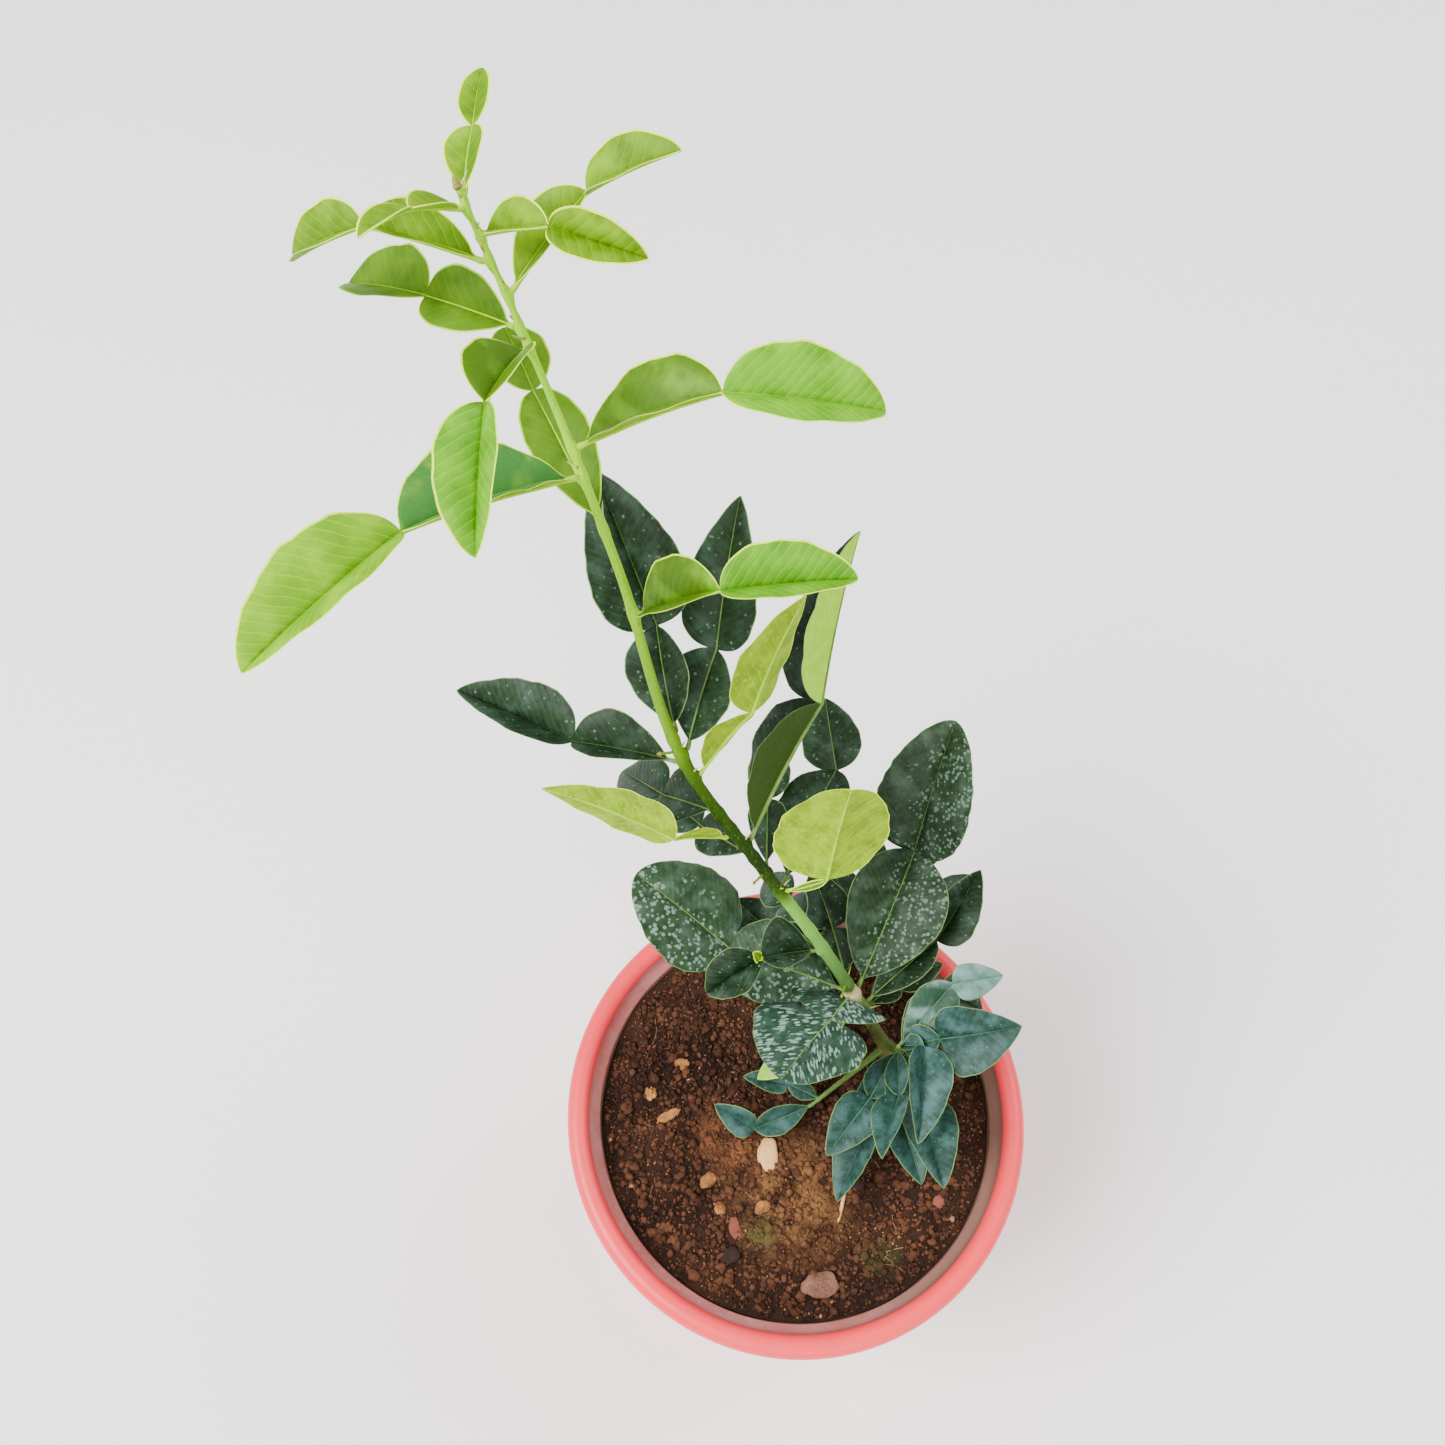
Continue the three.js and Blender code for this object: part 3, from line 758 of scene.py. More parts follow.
OLD_REST = (OLD_UNDER, OLD_RIB, OLD_EDGE)

DRESS: dict[Look, tuple[Finish, ...]] = {
    YOUNG: (YOUNG_TOP, *YOUNG_REST),
    GLOSSY: (GLOSSY_TOP, *YOUNG_REST),
    GLOSSY_LONG: (replace(GLOSSY_TOP, name="young_leaf_top_glossy_long", foot_end=4.5), *YOUNG_REST),
    DEEP: (DEEP_TOP, YOUNG_UNDER, YOUNG_RIB, YOUNG_RIB),
    PAINTED_LIGHT: (PAINTED_LIGHT_TOP, *YOUNG_REST),
    OLD: (OLD_TOP, *OLD_REST),
    FOLDED: (OLD_TOP, FOLDED_UNDER, OLD_RIB, OLD_EDGE),
    FRESH: (FRESH_TOP, FRESH_TOP, YOUNG_RIB, YOUNG_RIB),
    SHEEN_PAINTED: (SHEEN_PAINTED_TOP, OLD_UNDER, TEAL_RIB, OLD_EDGE),
    SPECKLED: (SPECKLED_TOP, *OLD_REST),
    SPOTTED: (SPOTTED_TOP, *OLD_REST),
    STREAKED: (STREAKED_TOP, *OLD_REST),
    TEAL: (TEAL_TOP, OLD_UNDER, TEAL_RIB, OLD_EDGE),
    PALE: (PALE_TOP, PALE_UNDER, YOUNG_RIB, YOUNG_EDGE),
}
DRESS_SIZE = 4


@dataclass(frozen=True)
class Limb:
    """The direction and length of a limb, or of a leaf's part."""

    bearing: float
    rise: float
    length: float

    @property
    def direction(self) -> Array:
        """Which way it grows."""
        return heading(self.bearing, self.rise)

    @property
    def reach(self) -> Array:
        """From its start to its end."""
        return self.direction * self.length


@dataclass(frozen=True)
class Lobe(Limb):
    """One of a leaf's two parts, with its half width and its roll about its midrib."""

    half: float
    roll: float


@dataclass(frozen=True)
class Bough(Limb):
    """A side limb, with its distance up the trunk and its radii."""

    at: float
    radius: float
    tip_radius: float


@dataclass(frozen=True)
class Twig(Limb):
    """The thin end of a side limb, which bears its leaves."""

    radius: float


@dataclass(frozen=True)
class Leaf:
    """A leaf at a distance along its limb: wing, then blade, with its halves folded up."""

    at: float
    wing: Lobe
    blade: Lobe
    fold: tuple[float, float]
    look: Look
    is_blunt: bool


@dataclass(frozen=True)
class Shoot:
    """A bough, its twig and the leaves on the twig."""

    bough: Bough
    twig: Twig
    leaves: tuple[Leaf, ...]


def leaf(
    at: float, wing: tuple[float, ...], blade: tuple[float, ...], fold: tuple[float, float], look: Look,
    is_blunt: bool = False,
) -> Leaf:
    """Makes a leaf from rows of a bearing, rise, length, half width and roll for its wing and blade."""
    return Leaf(at, Lobe(*wing), Lobe(*blade), fold, look, is_blunt)


TRUNK_LEAVES: dict[str, Leaf] = {
    "leaf_tip_upright": leaf(425, (85, 13, 19, 6, 18), (86, 9, 17, 4.5, 8), (28, 28), YOUNG),
    "leaf_tip_left": leaf(423, (228, 30, 17, 5, -8), (240, 16, 17, 4.5, -12), (28, 28), YOUNG),
    "leaf_tip_right": leaf(416, (335, 26, 22, 7, -14), (339, -3, 24, 7.5, -36), (44, 44), YOUNG),
    "leaf_top_left": leaf(410, (179, 18, 29, 9, -2), (172, -32, 24, 9, 8), (38, 38), YOUNG),
    "leaf_top_right": leaf(401, (28, 40, 31, 8.5, -2), (358, 28, 25, 8.5, -2), (36, 36), YOUNG),
    "leaf_upper_left": leaf(392, (153, -5, 28, 10, 20), (148, -20, 30, 12, 0), (30, 30), DEEP),
    "leaf_upper_front": leaf(387, (257, 21, 31, 11, -6), (267, -24, 36, 11, -16), (42, 42), GLOSSY),
    "leaf_long_right": leaf(357, (359, 29, 45, 14, 10), (4, -14, 43, 14, -10), (36, 36), GLOSSY_LONG),
    "leaf_upper_back": leaf(331, (118, 16, 45, 10, 4), (113, 4, 24, 9, 0), (22, 22), DEEP),
    "leaf_long_left": leaf(349, (219, 20, 55, 16, -6), (227, -6, 50, 15, 0), (42, 42), PAINTED_LIGHT),
    "leaf_bright_right": leaf(301, (339, 44, 38, 13, -12), (3, 4, 37, 12.5, -6), (46, 46), GLOSSY),
    "leaf_back_left": leaf(248, (100, 50, 38, 12, 24), (116, 34, 50, 17, 10), (30, 30), OLD),
    "leaf_back_middle": leaf(240, (62, 48, 38, 12, 10), (78, 44, 48, 13, 14), (16, 16), OLD),
    "leaf_side_left": leaf(236, (167, -4, 38, 13, -4), (151, -8, 48, 14, -2), (44, 44), OLD),
    "leaf_pale_upright": leaf(228, (26, 52, 34, 10, 80), (58, 40, 41, 14, 106), (12, 12), PALE),
    "leaf_left_behind": leaf(204, (144, -34, 30, 12, 14), (131, -40, 34, 11, 10), (20, 20), OLD),
    "leaf_pale_left": leaf(193, (210, 40, 29, 8, -66), (164, 16, 47, 14, -98), (8, 8), PALE),
    "leaf_back_tall": leaf(182, (53, 44, 60, 17, 30), (76, 22, 61, 18, 34), (14, 84), FOLDED),
    "leaf_left_low": leaf(172, (137, -26, 30, 9, 26), (127, -32, 36, 10, 20), (18, 18), OLD),
    "leaf_back_short": leaf(160, (88, -12, 34, 8, 0), (86, -22, 36, 9, 0), (20, 20), OLD),
    "leaf_back_lobed": leaf(146, (64, 10, 52, 16, 30), (95, -6, 34, 12, 12), (14, 14), OLD),
    "leaf_pale_front": leaf(147, (350, 48, 25, 2, -60), (250, 115, 44, 22, -28), (14, 14), PALE, True),
    "leaf_low_under": leaf(113, (113, -36, 23, 8, 20), (117, -44, 27, 9, 24), (16, 16), OLD),
    "leaf_left_big": leaf(60, (161, 2, 55, 18, 8), (146, 22, 51, 23, -5), (6, 6), SPECKLED, True),
    "leaf_left_small": leaf(98, (191, 2, 25, 16, -35), (201, -40, 31, 14, -17), (19, 77), OLD),
    "leaf_left_round": leaf(50, (142, -6, 30, 11, 10), (134, -4, 42, 16, 10), (12, 12), OLD),
    "leaf_back_low": leaf(66, (102, -1, 25, 10, 0), (108, 9, 27, 11, -6), (14, 14), OLD),
    "leaf_left_under": leaf(50, (217, -26, 27, 7, 0), (210, -20, 29, 8, 0), (14, 14), FRESH),
    "leaf_right_tall": leaf(57, (64, 27, 66, 23, -12), (71, 48, 61, 22, 14), (24, 24), SPOTTED, True),
    "leaf_front_big": leaf(60, (237, 25, 20, 22, -19), (230, 8, 33, 28, -28), (11, 11), STREAKED, True),
    "leaf_right_under": leaf(41, (41, -8, 20, 7, 0), (24, -6, 24, 8, 0), (20, 20), OLD),
    "leaf_right_folded": leaf(46, (37, 20, 43, 10, 0), (55, 18, 36, 12, -14), (30, 30), OLD),
}
SHOOTS: dict[str, Shoot] = {
    "right": Shoot(Bough(300, 60, 10, 14, 1.9, 1.3), Twig(240, 78, 36, 1.2), (
        leaf(35, (46, 22, 34, 10, -11), (8, 5, 21, 8, -21), (18, 18), SHEEN_PAINTED),
        leaf(33, (51, 15, 28, 8, 11), (350, -40, 28, 11, 12), (35, 35), OLD),
        leaf(30, (340, 56, 16, 5, 16), (263, -5, 38, 12, 24), (40, 30), TEAL),
        leaf(27, (357, 50, 23, 8, -16), (2, 28, 34, 16, -32), (24, 24), TEAL),
        leaf(20, (265, 24, 24, 6, -25), (250, 13, 28, 9, -36), (28, 28), TEAL),
        leaf(14, (268, 8, 30, 7, 0), (284, 2, 27, 9, 0), (20, 20), TEAL),
        leaf(11, (284, 24, 28, 8, 9), (280, 12, 36, 13, 6), (30, 30), TEAL),
        leaf(7, (238, 7, 25, 7, -6), (230, -7, 30, 10, 0), (14, 14), TEAL),
        leaf(4, (247, -4, 35, 10, -16), (244, -14, 33, 10, -30), (26, 26), TEAL),
    )),
    "low_left": Shoot(Bough(218, 5, 30, 8, 1.5, 1), Twig(218, 8, 9, 0.9), (
        leaf(8, (203, 6, 28, 7, 20), (150, 6, 20, 7, 20), (30, 30), TEAL),
        leaf(4, (160, 22, 16, 5, 0), (172, 8, 20, 6, 0), (24, 24), TEAL),
    )),
    "back": Shoot(Bough(72, 6, 20, 36, 1.7, 1.1), Twig(68, 12, 28, 1), (
        leaf(27, (66, 4, 20, 7, 0), (74, -12, 28, 9, 0), (20, 20), OLD),
        leaf(22, (118, 12, 22, 7, 0), (108, -8, 30, 9, 0), (20, 20), OLD),
        leaf(16, (28, 4, 22, 7, 0), (38, -14, 28, 9, 0), (20, 20), OLD),
        leaf(9, (128, -4, 24, 7, 0), (118, -16, 30, 9, 0), (20, 20), OLD),
        leaf(4, (40, -14, 24, 7, 0), (54, -12, 30, 9, 0), (20, 20), OLD),
    )),
}


@dataclass(frozen=True)
class Outline:
    """Where the wing and blade of a leaf are widest, and how full they are."""

    wing_peak: float
    wing_full: float
    blade_peak: float
    blade_full: float


@dataclass
class LeafMesh:
    """The rule that grows a leaf's mesh, from its root on the limb's axis and the seat of its stalk."""

    leaf: Leaf
    root: Array
    seat: Array
    seed: int
    slot: int
    young: Outline = Outline(0.58, 0.5, 0.42, 0.58)
    old: Outline = Outline(0.62, 0.55, 0.3, 0.75)
    blunt: Outline = Outline(0.62, 0.48, 0.38, 0.52)
    stalk_radius: float = 0.7
    stalk_share: float = 0.08
    arch: float = 0.03
    thickness: float = 0.42
    groove: float = 0.16
    tip_half: float = 0.2
    belly: float = 11.0
    ripple: float = 0.035
    ripple_length: float = 15.0
    ripple_lag: float = 1.7
    scallop: float = 0.014
    scallop_length: float = 1.15
    rib_width: float = 1.0
    rib_sides: int = 6
    old_edge: float = 0.34
    young_edge: float = 0.5
    rib_taper: float = 0.6
    strip_share: float = 0.3
    margin_power: int = 6
    blade_foot: float = 0.2
    rib_radius: float = 0.35
    rib_thins: float = 0.85
    stalk_flare: float = 0.3
    stalk_flare_reach: float = 2.5
    inside_share: float = 0.35
    inside_depth: float = 0.3
    wing_rows: int = 26
    blade_rows: int = 30
    columns: tuple[float, ...] = (0.14, 0.3, 0.46, 0.62, 0.76, 0.88)

    def __post_init__(self) -> None:
        """Draws the ripples' start and the tint, and lays out the leaf row by row."""
        rng = np.random.default_rng(self.seed)
        self.wave, self.tint = float(rng.uniform(0, TURN)), float(rng.uniform(-0.1, 0.1))
        wing, blade = self.leaf.wing, self.leaf.blade
        joint = self.root + wing.reach
        first = self._lobe(wing, self.seat, joint, 0.0)
        second = self._lobe(blade, joint, joint + blade.reach, wing.length)
        rows = (np.concatenate(pair) for pair in zip(first, second))
        self.middles, self.sides, self.normals, self.halves, self.run = rows
        self.share = self.run / self.run[-1]

    def _half_widths(self, part: Lobe, shares: Array) -> Array:
        """Half widths along the wing or the blade.

        Args:
            part: The wing or blade.
            shares: Where along it.

        Returns:
            The half widths.
        """
        outline = self.blunt if self.leaf.is_blunt else self.young if self.leaf.look.is_young else self.old
        if part is self.leaf.wing:
            past = np.clip((shares - self.stalk_share) / (1 - self.stalk_share), 0, 1)
            peak, full, least = outline.wing_peak, outline.wing_full, self.stalk_radius
        else:
            past, peak, full = shares, outline.blade_peak, outline.blade_full
            least = np.where(shares < self.blade_foot, self.stalk_radius, self.tip_half)
        bent = past ** (math.log(0.5) / math.log(peak))
        return np.maximum(least, part.half * np.maximum(0.0, np.sin(math.pi * bent)) ** full)

    def _lobe(self, part: Lobe, start: Array, end: Array, before: float) -> tuple[Array, ...]:
        """The frame of one lobe.

        Args:
            part: The wing or blade.
            start: Where its midrib starts.
            end: Where it ends.
            before: The length of leaf before it.

        Returns:
            Midrib, directions to the side and off the face, half widths and lengths along, row by row.
        """
        is_wing = part is self.leaf.wing
        shares = (1 - np.cos(np.linspace(0, math.pi, self.wing_rows if is_wing else self.blade_rows))) / 2
        shares = shares[:-1] if is_wing else shares
        level, above = heading(part.bearing - 90, 0), heading(part.bearing, part.rise + 90)
        roll = math.radians(part.roll)
        side = level * math.cos(roll) + above * math.sin(roll)
        face = above * math.cos(roll) - level * math.sin(roll)
        chord = end - start
        span = float(np.linalg.norm(chord))
        lift = 4 * span * self.arch * shares * (1 - shares)
        slope = 4 * span * self.arch * (1 - 2 * shares)
        middles = start + chord * shares[:, None] + face * lift[:, None]
        normals = units(np.cross(side, chord + face * slope[:, None]))
        scallops = 1 + self.scallop * np.sin(shares * span / self.scallop_length + self.wave)
        halves = self._half_widths(part, shares) * scallops
        return middles, np.broadcast_to(side, normals.shape), normals, halves, shares * span + before

    def _columns(self) -> Array:
        """Where across each row its vertices stand, in millimetres near the midrib and margin.

        Returns:
            Shares of the half width from -1 to 1, row by row.
        """
        margin = self.young_edge if self.leaf.look.is_young else self.old_edge
        half_rib = self.rib_width / 2 * (1 - self.rib_taper * self.share)
        rib = np.minimum(self.strip_share, half_rib / self.halves)[:, None]
        rim = np.minimum(self.strip_share, margin / self.halves)[:, None]
        inner = rib + (1 - rib - rim) * np.array([0.0, *self.columns, 1.0])
        right = np.hstack([inner, np.ones_like(rib)])
        return np.hstack([-right[:, ::-1], np.zeros_like(rib), right])

    def _surface(self, across: Array) -> tuple[Array, Array]:
        """The leaf's middle surface, folded, bellied and rippled.

        Args:
            across: Where across the vertices stand.

        Returns:
            Points and the directions off them, by row and column.
        """
        reach, halves = np.abs(across), self.halves[:, None]
        normals, sides = self.normals[:, None], self.sides[:, None]
        left, right = self.leaf.fold
        tilt = np.radians(np.where(across < 0, left, right) + (1 - reach) * self.belly) * (reach > 0)
        level = across * np.cos(tilt) * halves
        lift = reach * np.sin(tilt) * halves
        lean = np.sign(across) * np.sin(tilt)
        off = normals * np.cos(tilt)[..., None] - sides * lean[..., None]
        lag = np.where(across < 0, self.ripple_lag, 0.0)
        phase = self.wave + lag + TURN * self.run[:, None] / self.ripple_length
        lift = lift + self.ripple * halves * np.sin(phase) * reach**3
        return self.middles[:, None] + sides * level[..., None] + normals * lift[..., None], off

    def _add_skin(self, pile: Pile) -> None:
        """Adds both faces of the leaf, which meet at its margin.

        Args:
            pile: Where they go.
        """
        across = self._columns()
        points, off = self._surface(across)
        rows, columns = across.shape
        depth = self.thickness / 2 * (1 - np.abs(across) ** self.margin_power)
        groove = np.where(across == 0, self.groove, 0.0)
        run = np.broadcast_to(self.run[:, None], across.shape)
        places = (np.stack([run, across * self.halves[:, None]], axis=2) / 10).reshape(-1, 2)
        quads = grid_faces(rows, columns, False)
        column = np.tile(np.arange(columns - 1), rows - 1)
        is_rib = np.isin(column, (columns // 2 - 1, columns // 2))
        is_edge = np.isin(column, (0, columns - 2))
        top, under = points + off * (depth - groove)[..., None], points - off * depth[..., None]
        for face, (skin, faces) in enumerate(((top, quads), (under, quads[:, ::-1]))):
            slots = self.slot + np.where(is_edge, 3, np.where(is_rib, 2, face))
            pile.add(skin.reshape(-1, 3), faces, slots, places, self.tint)

    def _add_rib(self, pile: Pile) -> None:
        """Adds the stalk and the raised midrib under the leaf.

        Args:
            pile: Where they go.
        """
        wing = self.leaf.wing
        size = (wing.length + self.leaf.blade.length) / 100
        radii = (self.rib_radius + self.rib_radius * size) * (1 - self.rib_thins * self.share) ** 0.8
        sunk = self.normals * (radii + 0.02)[:, None] * smooth_step(self.share, 0.0, 0.12)[:, None]
        radii = radii + self.stalk_flare * np.exp(-((self.run / self.stalk_flare_reach) ** 2))
        inside = self.root + (self.middles[0] - self.root) * self.inside_share
        inside = inside - wing.direction * self.inside_depth
        line = np.vstack([inside, self.middles - sunk])
        pile.tube(line, np.r_[radii[0], radii], self.rib_sides, self.slot + 2, places=True)

    def grow(self, pile: Pile) -> None:
        """Adds the leaf with its stalk and midrib to a pile."""
        self._add_skin(pile)
        self._add_rib(pile)


@dataclass
class Trunk:
    """The leading stem and its boughs, with ribs, leaf cushions and fine fibres."""

    foot: tuple[float, float, float] = (44.0, 26.0, 156.3)
    flushes: tuple[tuple[float, float, float], ...] = (
        (90, 149, 25), (70, 157, 25), (82, 156, 24), (75, 124, 21), (57, 128, 25), (53, 133, 26),
    )
    radius: float = 2.9
    tip_radius: float = 0.45
    taper: float = 0.75
    flare: float = 3.0
    flare_height: float = 5.0
    swell: float = 0.3
    swell_reach: float = 3.0
    cushion: float = 0.75
    cushion_reach: float = 2.1
    rib: float = 0.05
    seat_gap: float = 0.3
    leaf_foot: float = 1.1
    twig_gap: float = 0.8
    node_reach: float = 9.0
    cushion_drop: float = 0.8
    flare_lobe: float = 0.3
    rib_seed: int = 7
    rib_count: int = 5
    ridges_from: float = 140.0
    ridges_to: float = 260.0
    ridge_twist: float = 40.0
    sides: int = 28
    step: float = 0.9
    deep_step: float = 1.0
    depth: float = 8.0
    bough_sides: int = 16
    bough_step: float = 0.6
    bough_rings: int = 18
    bough_overlap: float = 1.5
    bough_flare: float = 0.5
    bough_knobs: float = 0.08
    bough_tint: float = 0.12

    def __post_init__(self) -> None:
        """Lays out the axis and the nodes on it."""
        knots = [np.array(self.foot)]
        for length, bearing, lean in self.flushes:
            knots.append(knots[-1] + heading(bearing, 90 - lean) * length)
        self.path = Path(knots)
        self.nodes = [(one.at, one.wing.direction) for one in TRUNK_LEAVES.values()]
        self.nodes += [(shoot.bough.at, shoot.bough.direction) for shoot in SHOOTS.values()]

    def radius_at(self, distance: float) -> float:
        """The stem's radius, without its flare, at a distance up it.

        Args:
            distance: Millimetres up the stem.

        Returns:
            The radius.
        """
        left = max(0.0, 1 - distance / self.path.length)
        plain = self.tip_radius + (self.radius - self.tip_radius) * left**self.taper
        nearest = min(abs(at - distance) for at, _ in self.nodes)
        return plain + self.swell * math.exp(-((nearest / self.swell_reach) ** 2))

    def flare_at(self, distance: float, lobe: float = 1.0) -> float:
        """How much further out than that the foot flares."""
        return self.flare * (1 + self.flare_lobe * lobe) * math.exp(-((distance / self.flare_height) ** 2))

    def seat(self, distance: float, direction: Array, foot_radius: float) -> Array:
        """A point just clear of the stem, on the side that a direction leads to.

        Args:
            distance: Millimetres up the stem.
            direction: Where the limb or leaf goes.
            foot_radius: How thick it starts.

        Returns:
            The point.
        """
        along = self.path.along(distance)
        slope = float(direction @ along)
        outward = unit(direction - along * slope)
        surface = self.radius_at(distance) + self.flare_at(distance - foot_radius)
        return self.path.at(distance) + outward * (surface + self.seat_gap + foot_radius * abs(slope))

    def leaf_seat(self, one: Leaf) -> tuple[Array, Array]:
        """Where a leaf's sizes start, on the axis, and where its stalk leaves the stem."""
        return self.path.at(one.at), self.seat(one.at, one.wing.direction, self.leaf_foot)

    def build(self, pile: Pile) -> None:
        """Adds the stem.

        Args:
            pile: Where it goes.
        """
        length = self.path.length
        stations = np.r_[np.arange(-self.depth, 0, self.deep_step), np.arange(0, length, self.step), length]
        waves = np.random.default_rng(self.rib_seed).uniform(0, TURN, (self.rib_count, 2))
        rings = [self._ring(float(distance), around(self.sides), waves) for distance in stations]
        tint = np.repeat(np.clip(stations / self.path.length, 0, 1), self.sides)
        pile.add(np.vstack(rings), tube_faces(len(rings), self.sides), tint=tint)

    def _ring(self, distance: float, angles: Array, waves: Array) -> Array:
        """One ring of the stem's surface.

        Args:
            distance: Millimetres up the stem, below 0 in the soil.
            angles: The angles of its vertices.
            waves: Phases of the fine ribs.

        Returns:
            Its points.
        """
        up = max(0.0, distance)
        centre = self.path.at(up) + UP * min(0.0, distance)
        forward = unit(UP + (self.path.along(up) - UP) * min(1.0, up / (2 * self.flare_height)))
        across = unit(np.array([1.0, 0, 0]) - forward * forward[0])
        back = np.cross(forward, across)
        radius = np.full(len(angles), self.radius_at(up))
        radius += np.array([self.flare_at(up, math.cos(4 * a)) for a in angles])
        ridges = smooth_step(up, self.ridges_from, self.ridges_to)
        radius *= 1 + self.rib * ridges * np.cos(3 * angles + up / self.ridge_twist)
        for k, (first, second) in enumerate(waves):
            radius += self.rib * np.cos((4 + k) * angles + first + 0.5 * math.sin(up / (9 + 4 * k) + second))
        for at, direction in self.nodes:
            if abs(at - up) < self.node_reach:
                aim = math.atan2(float(direction @ back), float(direction @ across))
                facing = np.maximum(0, np.cos(angles - aim)) ** 2
                away = (up - at + self.cushion_drop) / self.cushion_reach
                radius += self.cushion * facing * math.exp(-(away**2))
        spread = across * np.cos(angles)[:, None] + back * np.sin(angles)[:, None]
        return centre + spread * radius[:, None]

    def build_bough(self, pile: Pile, shoot: Shoot) -> tuple[Array, Array]:
        """Adds a bough, from inside the stem to its twig.

        Args:
            pile: Where it goes.
            shoot: The side shoot.

        Returns:
            The twig's start and end.
        """
        bough = shoot.bough
        start = self.seat(bough.at, bough.direction, bough.radius)
        end = start + bough.reach
        twig_start = end + bough.direction * self.twig_gap
        twig_end = twig_start + shoot.twig.reach
        path = Path([self.path.at(bough.at), start, end, twig_start, twig_end])
        stop = float(path.distances[np.argmin(np.linalg.norm(path.points - twig_start, axis=1))])
        run = np.linspace(0, stop + self.bough_overlap, max(self.bough_rings, int(stop / self.bough_step)))
        share = np.clip(run / stop, 0, 1)
        slope = (bough.tip_radius - bough.radius) * share
        radii = bough.radius + self.bough_flare * (1 - share) ** 4 + slope
        radii = radii + self.bough_knobs * np.sin(run * 1.3) * np.sin(run * 0.37 + bough.at)
        points = np.array([path.at(float(distance)) for distance in run])
        pile.tube(points, radii, self.bough_sides, tint=self.bough_tint)
        return twig_start, twig_end


@dataclass
class Sprout:
    """A thorn, a bud or a short spur twig: its root on the limb's axis, its direction, the
    distance from the root at which it shows, and its share of the full size."""

    root: Array
    direction: Array
    start: float
    size: float
    sides: int = 8
    thorn_length: float = 4.5
    thorn_radius: float = 0.5
    thorn_root: float = 0.4
    thorn_bend: float = 0.25
    thorn_tip: float = 0.06
    bud_radius: float = 0.85
    bud_sunk: float = 0.4
    bud_stretch: float = 1.5
    bud_tip: float = 0.05
    bud_scales: tuple[tuple[float, float], ...] = ((1.0, 0.0), (0.8, 0.7), (0.55, 1.3))
    spur_length: float = 7.0
    spur_radius: float = 0.6
    spur_taper: float = 0.35
    spur_bend: float = 0.18
    spur_knobs: float = 0.06
    spur_tint: float = 0.6

    def thorn(self, pile: Pile) -> None:
        """Adds a thorn, slightly bent towards its tip.

        Args:
            pile: Where it goes.
        """
        shares = np.linspace(-self.thorn_root, 1, 9)
        out = self.start + shares * (self.thorn_length * self.size)
        points = self.root + self.direction * out[:, None] + UP * (self.thorn_bend * shares**2)[:, None]
        pile.tube(points, self.thorn_radius * np.clip(1 - shares, self.thorn_tip, 1) ** 0.8, self.sides)

    def bud(self, pile: Pile) -> None:
        """Adds a bud of overlapping scales.

        Args:
            pile: Where it goes.
        """
        radius, shares = self.bud_radius * self.size, np.linspace(0, 1, 8)
        for scale, reach in self.bud_scales:
            out = self.start - self.bud_sunk + radius * (reach + self.bud_stretch * shares)
            points = self.root + self.direction * out[:, None]
            radii = radius * scale * np.sin(math.pi * (0.25 + 0.72 * shares)) ** 0.8
            pile.tube(points, np.maximum(self.bud_tip, radii), self.sides)

    def spur(self, pile: Pile) -> Array:
        """Adds a spur twig.

        Args:
            pile: Where it goes.

        Returns:
            Its end.
        """
        shares = np.linspace(0, 1, 10)
        length = self.start + self.spur_length * self.size
        bend = UP * (self.spur_bend * length * shares**2)[:, None]
        points = self.root + self.direction * (length * shares)[:, None] + bend
        radii = self.spur_radius * (1 - self.spur_taper * shares) + self.spur_knobs * np.sin(shares * 25)
        pile.tube(points, radii, self.sides, tint=self.spur_tint)
        return points[-1]


